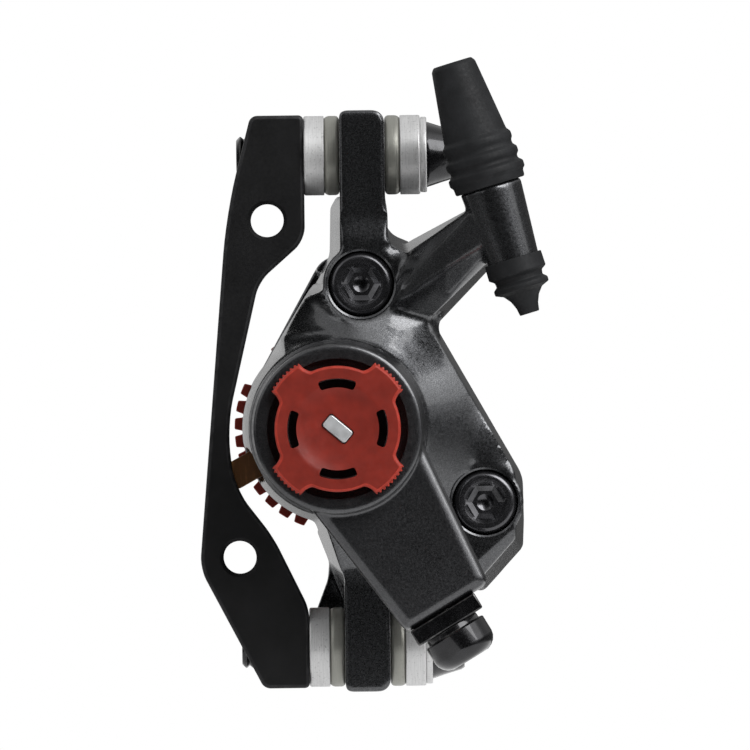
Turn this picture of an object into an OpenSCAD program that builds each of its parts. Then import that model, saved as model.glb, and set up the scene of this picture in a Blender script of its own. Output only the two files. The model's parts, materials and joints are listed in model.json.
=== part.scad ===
// Mechanical bicycle disc brake caliper on its frame adapter, in millimetres.
// Seen from the outboard side, +X is right and +Z is up, and +Y runs in to the wheel.
// The origin is midway between the frame bolts, on the adapter's outboard face.

/* [Frame and rotor] */
// Spacing of the two frame bolts
is_spacing = 51; // [49:0.5:53]
// Lean of the row of frame bolts from upright, in degrees
is_lean = 5.3; // [3:0.1:7]
// Diameter of the tapped frame bolt holes
is_hole_d = 5; // [4:0.1:5.6]
// Spacing of the two post bolts
post_spacing = 74.2; // [72:0.2:77]
// Height of the middle of the post bolts
post_mid_z = -2; // [-3:0.1:-1]
// Place of the adapter's post faces, to the right of the origin
post_face_x = 8; // [7.4:0.1:8.8]
// Depth of the rotor's middle plane
rotor_y = 16.4; // [16.2:0.1:17.5]
// Radius of the rotor
rotor_r = 80; // [70:5:102]
// Reach of the pad centre inside the rotor's edge
pad_inset = 10; // [9:0.1:10.8]
// Lean of the line from the wheel axle to the pad centre, in degrees
rotor_lean = 28.9; // [27:0.1:31]

/* [Adapter and washers] */
// Thickness of the adapter
adapter_t = 9.6; // [8.6:0.1:9.8]
// Metal beyond each post bolt axis at the adapter's ends
adapter_end = 6.1; // [5:0.1:7]
// Diameter of the post bolts
post_bolt_d = 6; // [5:0.1:6.4]
// Diameter of a post bolt's head at its washer
post_head_d = 9.9; // [9:0.1:10.5]
// Height of a post bolt's head
post_head_h = 4.8; // [4.2:0.1:6]
// Length of post bolt that stands out behind the adapter
post_tip = 0.9; // [0.5:0.1:1.5]
// Outer diameter of the alignment washers
washer_d = 12; // [11:0.1:12.4]
// Thickness of a concave washer
concave_t = 3.15; // [2.9:0.05:3.6]
// Rim thickness of a convex washer
convex_t = 2.1; // [1.8:0.05:2.4]
// Radius of the washers' round faces
washer_ball_r = 12; // [11:0.5:15]
// Thickness of a flat washer
flat_t = 1; // [0.8:0.1:1.4]

/* [Castings] */
// Thickness of the ears along the post bolts
ear_t = 6.85; // [6:0.05:7.5]
// Twice the depth of the ears behind the post bolts
ear_depth = 13.2; // [12.6:0.1:13.6]
// Distance of the ears' fronts behind the fronts of the bolt bosses
ear_set = 0.5; // [0.3:0.1:2]
// Metal beyond each post bolt axis at the ears' ends
ear_end = 6.7; // [6:0.1:7.4]
// Travel of a post bolt along an ear's slot
ear_slot = 3.4; // [2:0.1:4]
// Distance of the pivot behind the ears' back faces
pivot_set = 0.68; // [0:0.02:1.4]
// Drop of the pivot below the middle of the post bolts
pivot_drop = 4.1; // [3:0.1:5]
// Radius of the hub at the split between the castings
hub_r = 14.9; // [14.6:0.1:15.6]
// Radius of the hub under the arm
hub_top_r = 13.4; // [13:0.1:14]
// Width of the rotor slot between the castings
slot_w = 6.4; // [6:0.1:7]
// Room between the rotor's edge and the castings
rotor_room = 2; // [1.5:0.1:2.4]
// Reach of the outboard casting's bolt bosses in front of the adapter's face
boss_rise = 5.4; // [4.4:0.1:6.4]
// Distance of the body bolts outside the pad centre
bolt_row = 13.8; // [13.5:0.1:14.6]
// Place of the upper body bolt along its row
bolt_up = 17.2; // [16.6:0.1:18]
// Place of the lower body bolt along its row
bolt_down = 20.6; // [19.8:0.1:21.4]
// Diameter of the body bolts
body_bolt_d = 5; // [4.5:0.1:5.2]
// Diameter of a body bolt's head
body_head_d = 9.6; // [9:0.1:10]
// Height of a body bolt's head
body_head_h = 5.2; // [4.5:0.1:6]
// Hex size of the bolts' sockets
socket_af = 5; // [4:0.5:5]

/* [Cable stop] */
// Place of the stop's middle, to the right of the pivot
stop_right = 25; // [24.4:0.1:26]
// Place of the stop's middle, above the pivot
stop_rise = 30.5; // [29.5:0.1:31.5]
// Lean of the cable from upright, in degrees
cable_lean = 16.5; // [14:0.1:19]
// Radius of the stop's boss under the boot
stop_r = 4.7; // [4.3:0.1:5]
// Diameter of the cable housing
housing_d = 5; // [4:0.1:5.4]
// Diameter of the inner cable's hole
cable_hole_d = 2.4; // [2:0.1:3]
// Length of the housing boot
boot_len = 19.4; // [17:0.1:22]

/* [Pads] */
// Gap between the linings with both adjusters backed off
lining_gap = 4.6; // [4.4:0.1:5]
// Thickness of a lining
lining_t = 2.2; // [1.8:0.1:2.4]
// Thickness of a pad plate
plate_t = 1.8; // [1.6:0.1:2]
// Width of a pad along the rotor
pad_w = 23; // [21:0.2:23.6]
// Width of a pad's pull tab
tab_w = 4.2; // [3.6:0.1:5]
// Reach of the pull tabs from the pad centre
tab_reach = 18; // [17:0.1:19]

/* [Ramp drive] */
// Swing of the arm, in degrees
arm_swing = 45; // [40:1:50]
// Pad advance over the arm's full swing
ramp_advance = 1.1; // [0.8:0.05:1.3]
// Radius of the ball circle
ball_circle_r = 6.4; // [6.2:0.05:6.6]
// Diameter of a ramp ball
ball_d = 4; // [3.6:0.1:4.2]
// Gap between the two ramp faces at rest
ramp_gap = 1.6; // [1.5:0.05:1.9]
// Thickness of the pressure ramp
ramp_t = 4.2; // [3.8:0.1:4.6]
// Thickness of the drive cam's flange
cam_t = 3.6; // [3.2:0.1:4]
// Outer radius of the ramps
ramp_r = 9.9; // [9.6:0.05:10.1]
// Radius of the drive cam's shaft
shaft_r = 6.4; // [6:0.05:6.6]
// Wall of the shaft bushing
bushing_wall = 1.3; // [1:0.1:1.6]
// Length of the shaft bushing
bushing_len = 7; // [6:0.1:8]
// Thickness of the thrust washer
thrust_t = 1; // [0.8:0.1:1.4]
// Thickness of a pad's foot
foot_t = 2; // [1.8:0.1:2.4]
// Radius of the pads' feet
foot_r = 7.5; // [7:0.1:8]
// Radius of the adjuster threads
screw_r = 3; // [2.8:0.05:3.1]

/* [Arm and outboard knob] */
// Lean of the arm from straight down, in degrees
arm_lean = 30.9; // [28:0.1:34]
// Length of the arm from the pivot to its end
arm_len = 31.6; // [30:0.1:34]
// Width of the arm's end
arm_end_w = 14.4; // [13:0.1:15]
// Depth of the arm
arm_t = 7.9; // [7.6:0.1:8.6]
// Radius of the arm's flange
flange_r = 13.3; // [13:0.1:14]
// Radius of the arm's collar at its front edge
collar_r = 11; // [10.8:0.05:11.3]
// Height of the collar in front of the arm
collar_h = 3; // [2.6:0.1:3.4]
// Hex size of the cam's drive
drive_af = 9.6; // [9:0.1:10]
// Diameter of the clamp bolt's head
clamp_head_d = 9.9; // [9:0.1:10.5]
// Height of the clamp bolt's head
clamp_head_h = 5.7; // [4.8:0.1:6]
// Thickness of the clamp plate
clamp_plate_t = 2.6; // [2:0.1:3]
// Width of the clamp plate
clamp_plate_w = 11.2; // [10.4:0.1:12]
// Radius of the outboard knob's rim
knob_r = 9.35; // [9:0.05:9.6]
// Radius over the outboard knob's lobes
knob_lobe_r = 11.4; // [11:0.05:11.8]
// Depth of the outboard knob
knob_t = 5.4; // [5:0.1:5.8]
// Width of the spindle's tip across its flats
tip_flat = 1.9; // [1.7:0.05:2.1]
// Diameter of the spindle's tip
tip_d = 3.8; // [3.6:0.05:4]

/* [Inboard adjuster] */
// Radius over the inboard wheel's teeth
wheel_r = 15.8; // [15.6:0.1:16.4]
// Depth of the inboard wheel
wheel_t = 5.6; // [5:0.1:6.4]
// Number of teeth on the inboard wheel
wheel_teeth = 36; // [30:1:40]
// Depth of a tooth on the inboard wheel
tooth_h = 1.2; // [0.8:0.1:1.5]
// Thickness of the inboard casting's end wall
end_wall = 2.6; // [2.2:0.1:3]

/* [Fits] */
// Gap between pieces that move past each other
run_gap = 0.3; // [0.2:0.02:0.4]
// Gap around bolts and pieces that sit still
fit_gap = 0.05; // [0.02:0.01:0.1]
// Gap around threads that turn
thread_gap = 0.12; // [0.08:0.01:0.16]
// Gap under the arm
arm_gap = 0.4; // [0.3:0.05:0.6]

/* [Hidden] */
$fn = 64;

// A cut runs this far past the faces that it opens
past = 1;

// Places across the photograph's plane
is_x = is_spacing / 2 * sin(is_lean);
is_z = is_spacing / 2 * cos(is_lean);
post_up_z = post_mid_z + post_spacing / 2;
post_low_z = post_mid_z - post_spacing / 2;
washer_gap = 0.1;
slot_gap = 0.3;
bolt_gap = 0.2;
housing_gap = 0.1;
ear_x = post_face_x + concave_t + washer_gap + convex_t;
pivot_x = ear_x - pivot_set;
pivot_z = post_mid_z - pivot_drop;
rotor_reach = rotor_r - pad_inset;

// Places along the depth, from the rotor out to the knob
post_y = adapter_t / 2;
split_y = rotor_y;
slot_out_y = rotor_y - slot_w / 2;
slot_in_y = rotor_y + slot_w / 2;
out_lining_y = rotor_y - lining_gap / 2;
out_plate_y = out_lining_y - lining_t;
out_foot_y = out_plate_y - plate_t;
out_foot_back_y = out_foot_y - foot_t;
pocket_out_y = out_foot_y - run_gap;
ramp_in_y = out_foot_back_y - run_gap;
ramp_face_y = ramp_in_y - ramp_t;
cam_face_y = ramp_face_y - ramp_gap;
ball_y = (ramp_face_y + cam_face_y) / 2;
cam_back_y = cam_face_y - cam_t;
thrust_gap = 0.1;
thrust_y = cam_back_y - thrust_gap;
shoulder_y = thrust_y - thrust_t;
bushing_y = shoulder_y - bushing_len;
seal_t = 1.2;
hub_front_y = bushing_y - seal_t;
arm_back_y = hub_front_y - arm_gap;
arm_front_y = arm_back_y - arm_t;
collar_y = arm_front_y - collar_h;
cup_depth = 2.8;
cup_y = collar_y + cup_depth;
nut_t = 2;
nut_seat_y = cup_y + nut_t;
knob_back_y = cup_y - run_gap;
knob_front_y = knob_back_y - knob_t;
knob_lobe_y = collar_y - run_gap;
tip_y = knob_front_y + 0.5;
boss_y = -boss_rise;
cable_y = (arm_back_y + arm_front_y) / 2;

// Places along the depth, from the rotor in to the wheel
in_lining_y = rotor_y + lining_gap / 2;
in_plate_y = in_lining_y + lining_t;
in_foot_y = in_plate_y + plate_t;
in_foot_back_y = in_foot_y + foot_t + 0.4;
pocket_in_y = in_foot_y + run_gap;
clip_t = 0.8;
clip_y = in_foot_back_y + run_gap;
wall_y = clip_y + clip_t + run_gap;
body_back_y = wall_y + end_wall;
wheel_y = body_back_y + run_gap;
wheel_back_y = wheel_y + wheel_t;

// Ramp and bores
bore_r = ramp_r + run_gap;
cam_bore_r = 2.8;
spindle_r = cam_bore_r - run_gap;
bushing_r = shaft_r + bushing_wall;
groove_r = ball_d / 2 + 0.2;
ramp_slope = atan(ramp_advance / (ball_circle_r * arm_swing * PI / 180));
key_r = 1.2;
key_angles = [0, 180];
ball_angles = [90, 210, 330];
groove_margin = asin((ball_d / 2 + run_gap) / ball_circle_r);
stub_r = 4.2;

// The body bolts' places from the pivot
bolt_a = [bolt_row * cos(rotor_lean) - bolt_up * sin(rotor_lean),
    bolt_row * sin(rotor_lean) + bolt_up * cos(rotor_lean)];
bolt_b = [bolt_row * cos(rotor_lean) + bolt_down * sin(rotor_lean),
    bolt_row * sin(rotor_lean) - bolt_down * cos(rotor_lean)];
bolt_boss_r = 5.8;
bolt_hole_r = body_bolt_d / 2 + bolt_gap;
bolt_seat_y = boss_y + body_head_h;
counterbore_r = body_head_d / 2 + 0.45;

// The pads' outline, with the wheel axle towards -X
pad_top = 10.2;
pad_bottom = -10.5;
pad_corner = 6;
tab_shift = 1.5;
tab_room = 0.6;
lining_inset = 1;
lining_drop = 3.4;
leaf_t = 0.4;
leaf_w = 9;
leaf_x = pad_top + 0.45;
pocket_top = leaf_x + leaf_t + fit_gap;

function unit(v) = v / norm(v);

// One rounded corner of an outline, between the straight edges that meet there
function corner(a, b, c, r) =
    let (
        u = unit(a - b),
        w = unit(c - b),
        half = acos(max(-1, min(1, u * w))) / 2,
        mid = b + unit(u + w) * r / sin(half),
        start = atan2((b + u * r / tan(half) - mid)[1], (b + u * r / tan(half) - mid)[0]),
        finish = atan2((b + w * r / tan(half) - mid)[1], (b + w * r / tan(half) - mid)[0]),
        sweep = (finish - start + 540) % 360 - 180,
        steps = max(2, ceil(abs(sweep) / 12))
    )
    [for (i = [0:steps]) mid + r * [cos(start + sweep * i / steps), sin(start + sweep * i / steps)]];

// An outline from [x, y, corner radius] points
function rounded(p) =
    let (n = len(p), q = [for (v = p) [v[0], v[1]]])
    [for (i = [0:n - 1])
        for (v = p[i][2] > 0 ? corner(q[(i + n - 1) % n], q[i], q[(i + 1) % n], p[i][2]) : [q[i]]) v];

function turned(r, a) = [r * cos(a), r * sin(a)];

// Solids that run along Y, with outlines drawn as seen from the outboard side
module along_y(y0, y1) {
    translate([0, y1, 0]) rotate([90, 0, 0]) linear_extrude(y1 - y0) children();
}

module rod_y(r, y0, y1) {
    translate([0, y0, 0]) rotate([-90, 0, 0]) cylinder(r = r, h = y1 - y0);
}

module cone_y(r0, r1, y0, y1) {
    translate([0, y0, 0]) rotate([-90, 0, 0]) cylinder(r1 = r0, r2 = r1, h = y1 - y0);
}

module hex_y(af, y0, y1) {
    translate([0, y0, 0]) rotate([-90, 0, 0]) cylinder(d = af / cos(30), h = y1 - y0, $fn = 6);
}

module ring_y(r_out, r_in, y0, y1) {
    difference() {
        rod_y(r_out, y0, y1);
        rod_y(r_in, y0 - past, y1 + past);
    }
}

module rod_x(r, x0, x1) {
    translate([x0, 0, 0]) rotate([0, 90, 0]) cylinder(r = r, h = x1 - x0);
}

module at_pivot() {
    translate([pivot_x, 0, pivot_z]) children();
}

// The pads' frame: +X points away from the wheel axle, +Z along the rotor
module pad_frame() {
    at_pivot() rotate([0, -rotor_lean, 0]) children();
}

// The arm's frame: +X runs along the arm from the pivot
module arm_frame() {
    at_pivot() rotate([0, 90 - arm_lean, 0]) children();
}

// The cable's frame: +Z runs up the cable housing from the middle of the stop
module cable_frame() {
    translate([pivot_x + stop_right, cable_y, pivot_z + stop_rise])
        rotate([0, -cable_lean, 0]) children();
}

// The outboard face, as seen: +X right, +Y up, +Z towards the viewer
module face_frame(y) {
    at_pivot() translate([0, y, 0]) rotate([90, 0, 0]) children();
}

module at_posts() {
    for (z = [post_up_z, post_low_z]) translate([0, post_y, z]) children();
}

module at_body_bolts() {
    for (b = [bolt_a, bolt_b]) at_pivot() translate([b[0], 0, b[1]]) children();
}

// Adapter bracket

adapter_outline = rounded([
    [post_face_x, post_up_z + adapter_end, 0.8],
    [post_face_x - 8, post_up_z + adapter_end, 1],
    [-3.8, is_z + 1.1, 15],
    [-8.4, -is_z - 1.6, 3],
    [post_face_x - 6.9, post_low_z - adapter_end, 1],
    [post_face_x, post_low_z - adapter_end, 0.8],
    [post_face_x, -is_z - 8, 2],
    [2.65, -is_z + 3, 4],
    [-3.1, -is_z + 10.5, 12],
    [-4.1, pivot_z + 0.6, 14],
    [0.95, is_z - 9.2, 4],
    [post_face_x, is_z - 3, 2.5]]);
hole_lead = 0.4;

module adapter_bracket() {
    color("#1c1d1e") difference() {
        along_y(0, adapter_t) polygon(adapter_outline);
        for (s = [-1, 1]) translate([s * is_x, 0, s * is_z]) {
            rod_y(is_hole_d / 2, -past, adapter_t + past);
            cone_y(is_hole_d / 2 + 2 * hole_lead, is_hole_d / 2 - hole_lead, -hole_lead, 2 * hole_lead);
        }
        at_posts() rod_x(post_bolt_d / 2 + fit_gap, -12, post_face_x + past);
    }
}

// Post bolts and their washers

stack_x = ear_x + ear_t;
flat_x = stack_x + convex_t + washer_gap + concave_t;
head_x = flat_x + flat_t;
washer_hole_r = post_bolt_d / 2 + slot_gap;
post_back_x = -1.3;
post_end_d = socket_af / cos(30) + 1.1;
post_tip_x = post_back_x - post_tip;

module mount_bolts() {
    color("#202122") at_posts() difference() {
        union() {
            rod_x(post_bolt_d / 2, post_tip_x, head_x + 0.5);
            translate([head_x, 0, 0]) rotate([0, 90, 0])
                cylinder(d1 = post_head_d, d2 = post_end_d, h = post_head_h);
        }
        translate([head_x + post_head_h - 3.4, 0, 0]) rotate([0, 90, 0])
            cylinder(d = socket_af / cos(30), h = 3.4 + past, $fn = 6);
    }
}

module flat_washers() {
    color("#b9bbbc") at_posts() difference() {
        rod_x(washer_d / 2 - 0.3, flat_x, head_x);
        rod_x(washer_hole_r, flat_x - past, head_x + past);
    }
}

// The middle of a washer's round face, from the washer's flat seat at 0
washer_sag = sqrt(washer_ball_r * washer_ball_r - washer_d * washer_d / 4);

module washer_blank(h) {
    translate([washer_hole_r, 0]) square([washer_d / 2 - washer_hole_r, h]);
}

module concave_washer() {
    rotate([0, 90, 0]) rotate_extrude() difference() {
        washer_blank(concave_t);
        translate([0, concave_t + washer_sag]) circle(r = washer_ball_r);
    }
}

module convex_washer() {
    rotate([0, 90, 0]) rotate_extrude() intersection() {
        washer_blank(convex_t + concave_t);
        translate([0, convex_t - washer_sag]) circle(r = washer_ball_r);
    }
}

module concave_washers() {
    color("#c4c5c5") at_posts() {
        translate([post_face_x, 0, 0]) concave_washer();
        translate([flat_x, 0, 0]) mirror([1, 0, 0]) concave_washer();
    }
}

module convex_washers() {
    color("#8a8b84") at_posts() {
        translate([ear_x, 0, 0]) mirror([1, 0, 0]) convex_washer();
        translate([stack_x, 0, 0]) convex_washer();
    }
}

// Outboard casting

ear_l = pivot_set;
ear_r = pivot_set + ear_t;
up_z = post_up_z - pivot_z;
low_z = post_low_z - pivot_z;
casting_taper = 0.9;
casting_mid = [12, 2];
ear_cut = 6;
ear_draft_y = 9;
dome_r = 21;
web_y = post_y + ear_depth / 2;

casting_outline = rounded([
    [ear_l - 0.5, up_z - 6, 0.4],
    [ear_l - 1.5, up_z - 7.7, 1],
    [ear_l - 1.7, bolt_a[1] + 4.4, 3],
    [turned(0.97 * hub_r, 150)[0], turned(0.97 * hub_r, 150)[1], 0],
    [turned(0.966 * hub_r, 252)[0], turned(0.966 * hub_r, 252)[1], 0],
    [ear_l - 2.4, low_z + 12.2, 6],
    [ear_l, low_z + 6, 0],
    [ear_r, low_z + 6, 0],
    [ear_r, low_z + 9.4, 2.5],
    [bolt_b[0] - 0.2, bolt_b[1] - 13.6, 1],
    [bolt_b[0] + 5.8, bolt_b[1] - 7, 1.2],
    [bolt_b[0] + 6, bolt_b[1] - 3, 1],
    [bolt_b[0] + 5.9, bolt_b[1] + 3.8, 5],
    [stop_right - 10, stop_rise - 15.2, 1],
    [stop_right - 13.5, stop_rise - 2.5, 1],
    [ear_r, up_z - 11.5, 3],
    [ear_r, up_z - 6, 0]]);

upper_ear_outline = rounded([
    [ear_l, up_z - 14, 0],
    [ear_r, up_z - 14, 0],
    [ear_r, up_z + ear_end, 1.8],
    [ear_l, up_z + ear_end, 1]]);

lower_ear_outline = rounded([
    [ear_l, low_z - ear_end, 1],
    [ear_r, low_z - ear_end, 1.8],
    [ear_r, low_z + 12, 0],
    [ear_l, low_z + 12, 0]]);

lower_web_outline = rounded([
    [ear_l - 2.3, low_z + 12.7, 0],
    [ear_l - 2.5, low_z + 10.2, 3],
    [ear_l - 4.3, low_z + 5.5, 1],
    [ear_l - 4.3, low_z + 1, 1],
    [ear_r - 1, low_z + 1, 0],
    [ear_r - 1, low_z + 12.7, 0]]);

module casting_draft() {
    translate([casting_mid[0], split_y, casting_mid[1]]) rotate([90, 0, 0])
        linear_extrude(split_y - hub_front_y, scale = casting_taper)
            translate(-casting_mid) polygon(casting_outline);
}

// The wedge that slopes the casting's wall back from the upper ear
module ear_draft() {
    translate([0, 0, bolt_a[1]]) linear_extrude(up_z - bolt_a[1]) polygon([
        [ear_l - 3, boss_y - past], [ear_l, boss_y - past], [ear_l, boss_y + 0.6],
        [ear_l - 1.8, ear_draft_y], [ear_l - 3, ear_draft_y]]);
}

// The sloping face on the fin below the lower bolt boss
fin_turn = -41.5;
fin_slope = 33;
fin_off = bolt_boss_r + 0.2;
fin_span = 16;

module fin_face() {
    translate([bolt_b[0], boss_y, bolt_b[1]]) rotate([0, fin_turn, 0]) translate([0, 0, -fin_off])
        rotate([fin_slope, 0, 0]) translate([-fin_span / 2, -fin_span, -fin_span]) cube(fin_span);
}

// The stop's boss and the strut that carries it
boss_low = -6.4;
boss_shoulder = 5.8;
boss_neck_top = 11;
boot_neck_r = 4;
socket_sunk = 3;
socket_r = housing_d / 2 + housing_gap;
strut_r = stop_r - 0.9;
strut_low = -1.7;
strut_h = 5.3;
strut_front_r = 0.4;
strut_root_r = 1.8;
grommet_cup = 0.9;
grommet_r = 4.45;
grommet_len = 8.6;

module stop_boss() {
    cable_frame() {
        translate([0, 0, boss_low]) cylinder(r1 = stop_r - 0.8, r2 = stop_r, h = boss_shoulder - boss_low);
        translate([0, 0, boss_shoulder - past])
            cylinder(r = boot_neck_r, h = boss_neck_top - boss_shoulder + past);
    }
}

module stop_strut() {
    difference() {
        hull() {
            cable_frame() translate([0, 0, strut_low]) cylinder(r = strut_r, h = strut_h, $fn = 32);
            at_pivot() for (p = [[stop_right - 10.6, stop_rise - 13.2], [stop_right - 13.2, stop_rise - 4],
                    [stop_right - 17, stop_rise - 12]])
                translate([p[0], 0, p[1]])
                    cone_y(strut_front_r, strut_root_r, boss_y - 1, web_y - 3.4, $fn = 24);
        }
        cable_frame() translate([0, 0, boss_low - grommet_len])
            cylinder(r = grommet_r + run_gap, h = grommet_len + grommet_cup + fit_gap);
    }
}

module pad_pocket(y0, y1) {
    pad_frame() along_y(y0, y1) polygon(rounded([
        [-hub_r - 5, -pad_w / 2 - run_gap, 0],
        [pocket_top, -pad_w / 2 - run_gap, pad_corner],
        [pocket_top, pad_w / 2 + run_gap, pad_corner],
        [-hub_r - 5, pad_w / 2 + run_gap, 0]]));
}

module rotor_slot() {
    pad_frame() translate([-rotor_reach, 0, 0])
        rod_y(rotor_r + rotor_room, slot_out_y, slot_in_y, $fn = 128);
}

module casting_blank() {
    at_pivot() {
        difference() {
            intersection() {
                casting_draft();
                union() {
                    rod_y(90, boss_y, split_y);
                    cone_y(hub_top_r - 0.3, dome_r, hub_front_y + 0.5, boss_y + 0.01);
                }
            }
            ear_draft();
            fin_face();
        }
        cone_y(hub_top_r, hub_r, hub_front_y, split_y);
        for (b = [bolt_a, bolt_b]) translate([b[0], 0, b[1]]) rod_y(bolt_boss_r, boss_y, split_y);
        along_y(boss_y + ear_set, web_y) polygon(upper_ear_outline);
        along_y(boss_y + ear_set, web_y) polygon(lower_ear_outline);
        along_y(web_y - 0.2, slot_out_y - 0.1) polygon(lower_web_outline);
    }
}

module cable_stop() {
    color("#2a2b2d") difference() {
        union() {
            stop_strut();
            stop_boss();
        }
        casting_blank();
        at_body_bolts() rod_y(counterbore_r, hub_front_y - past, bolt_seat_y);
        cable_frame() {
            translate([0, 0, -socket_sunk]) cylinder(r = socket_r, h = boss_neck_top + socket_sunk + past);
            translate([0, 0, boss_low - past]) cylinder(d = cable_hole_d, h = boss_shoulder - boss_low);
        }
    }
}

module outboard_body() {
    color("#2a2b2d") difference() {
        casting_blank();
        rotor_slot();
        pad_pocket(pocket_out_y, split_y + past);
        at_pivot() {
            rod_y(bore_r, shoulder_y, split_y);
            rod_y(bushing_r + fit_gap, hub_front_y - past, shoulder_y + past);
            for (a = key_angles) translate([bore_r * cos(a), 0, bore_r * sin(a)])
                rod_y(key_r + fit_gap, ramp_face_y - fit_gap, pocket_out_y + past);
            translate([spring_mean_r * cos(spring_start), 0, spring_mean_r * sin(spring_start)])
                rod_y(spring_wire_d / 2 + 0.15, hub_front_y - past, hub_front_y + spring_leg + 0.3);
        }
        pad_frame() translate([-hub_r - 6, boss_y - 5, tab_shift - tab_w / 2 - tab_room])
            cube([6 + hub_r - hub_top_r + 0.2, split_y - boss_y + 5 + past, tab_w + 2 * tab_room]);
        at_body_bolts() {
            rod_y(bolt_hole_r, boss_y - past, split_y + past);
            rod_y(counterbore_r, hub_front_y - past, bolt_seat_y);
        }
        at_posts() for (s = [-1, 1]) translate([0, s * ear_slot / 2, 0])
            rod_x(washer_hole_r, ear_x - ear_cut, stack_x + past);
        at_posts() translate([ear_x - ear_cut, -ear_slot / 2, -washer_hole_r])
            cube([ear_t + ear_cut + past, ear_slot, 2 * washer_hole_r]);
    }
}

// Inboard casting

inboard_outline = rounded([
    [bolt_a[0] - bolt_boss_r, bolt_a[1] + bolt_boss_r - 1.4, 4],
    [turned(0.97 * hub_r, 152)[0], turned(0.97 * hub_r, 152)[1], 0],
    [turned(0.97 * hub_r, 292)[0], turned(0.97 * hub_r, 292)[1], 0],
    [bolt_b[0] - 3, bolt_b[1] - bolt_boss_r, 5],
    [bolt_b[0] + bolt_boss_r, bolt_b[1] - bolt_boss_r, 5],
    [bolt_b[0] + bolt_boss_r, bolt_b[1] + 3, 5],
    [bolt_a[0] + bolt_boss_r - 0.5, bolt_a[1] + bolt_boss_r - 1.4, 5]]);
lobe_back_y = body_back_y - 4;

module inboard_body() {
    color("#2a2b2d") difference() {
        at_pivot() union() {
            along_y(split_y, lobe_back_y) polygon(inboard_outline);
            cone_y(hub_r, hub_r - 0.6, split_y, body_back_y);
        }
        rotor_slot();
        pad_pocket(split_y - past, pocket_in_y);
        at_pivot() {
            rod_y(foot_r + run_gap, split_y, wall_y);
            rod_y(screw_r + run_gap, split_y, body_back_y + past);
        }
        pad_frame() translate([-hub_r - 6, split_y - past, tab_shift - tab_w / 2 - tab_room])
            cube([6 + hub_r - hub_top_r + 0.2, in_foot_y + tab_room - split_y + past, tab_w + 2 * tab_room]);
        at_body_bolts() rod_y(body_bolt_d / 2 + fit_gap, split_y - past, lobe_back_y - 1.5);
    }
}

module body_bolts() {
    socket_depth = 3;
    color("#141516") at_body_bolts() difference() {
        union() {
            rod_y(body_head_d / 2, boss_y, bolt_seat_y);
            rod_y(body_bolt_d / 2, bolt_seat_y - past, lobe_back_y - 2);
        }
        hex_y(socket_af, boss_y - past, boss_y + socket_depth);
        cone_y(socket_af / 2 + 0.9, socket_af / 2, boss_y - 0.01, boss_y + 0.9);
    }
}

// Rubber pieces on the cable stop

boot_low = boss_shoulder + fit_gap;
boot_profile = [
    [boot_neck_r + fit_gap, 0], [5.35, 0], [5.4, 1.1], [5.85, 1.5], [5.85, 2.5], [5.2, 2.9], [5.2, 3.5],
    [5.6, 3.9], [5.6, 4.8], [5.05, 5.2], [5.05, 5.9], [5.35, 6.3], [5.35, 7.2], [4.85, 7.7]];

module housing_boot() {
    color("#2d2f31") cable_frame() translate([0, 0, boot_low]) rotate_extrude()
        polygon(concat(boot_profile, [
            [3.35, boot_len],
            [socket_r, boot_len],
            [socket_r, boss_neck_top - boot_low + fit_gap],
            [boot_neck_r + fit_gap, boss_neck_top - boot_low + fit_gap]]));
}

module cable_grommet() {
    boss_end_r = stop_r - 0.75;
    cup = boss_low + grommet_cup;
    color("#2d2f31") cable_frame() rotate_extrude() polygon([
        [cable_hole_d / 2, boss_low - fit_gap], [boss_end_r + 0.1, boss_low - fit_gap],
        [boss_end_r + 0.1, cup], [grommet_r - 0.05, cup], [grommet_r, cup - 2.3],
        [3.7, cup - 2.8], [3.6, cup - 3.5], [4.2, cup - 4], [4.2, cup - 4.7],
        [3, cup - 5.2], [2.2, cup - 6.2], [1.7, cup - 7.4],
        [1.5, cup - grommet_len], [cable_hole_d / 2, cup - grommet_len]]);
}

// Ramp drive

module cam_bushing() {
    color("#9a7b3c") at_pivot() ring_y(bushing_r, shaft_r + 0.06, bushing_y, shoulder_y);
}

module cam_seal() {
    color("#222222") at_pivot() ring_y(bushing_r, shaft_r + 0.1, hub_front_y + 0.1, bushing_y - fit_gap);
}

module thrust_washer() {
    color("#b0b2b4") at_pivot() ring_y(ramp_r, shaft_r + run_gap, shoulder_y, shoulder_y + thrust_t);
}

module ramp_keys() {
    color("#a8aaac") at_pivot() for (a = key_angles)
        translate([bore_r * cos(a), 0, bore_r * sin(a)]) rod_y(key_r, ramp_face_y, pocket_out_y - 0.2);
}

// One curved ball groove, with its middle turned by a and sunk to y
module ball_groove(a, y) {
    half_arc = arm_swing / 4 + groove_margin;
    face_frame(y) rotate([0, 0, a]) rotate([ramp_slope, 0, 0]) rotate([0, 0, -half_arc])
        rotate_extrude(angle = 2 * half_arc) translate([ball_circle_r, 0]) circle(r = groove_r);
}

module pressure_ramp() {
    color("#8d9093") difference() {
        at_pivot() rod_y(ramp_r, ramp_face_y, ramp_in_y);
        at_pivot() rod_y(screw_r + thread_gap, ramp_face_y - past, ramp_in_y + past);
        for (a = ball_angles) ball_groove(a + arm_swing / 4, ball_y - ramp_advance / 4);
        at_pivot() for (a = key_angles) translate([bore_r * cos(a), 0, bore_r * sin(a)])
            rod_y(key_r + run_gap, ramp_face_y - past, ramp_in_y + past);
    }
}

module ball_cage() {
    cage_t = ramp_gap - 2 * run_gap;
    color("#c9b27a") difference() {
        at_pivot() ring_y(ramp_r - 0.3, spindle_r + 0.8, ball_y - cage_t / 2, ball_y + cage_t / 2);
        for (a = ball_angles) face_frame(ball_y + ramp_gap) rotate([0, 0, a]) translate([ball_circle_r, 0, 0])
            cylinder(d = ball_d + 0.2, h = 2 * ramp_gap);
    }
}

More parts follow.
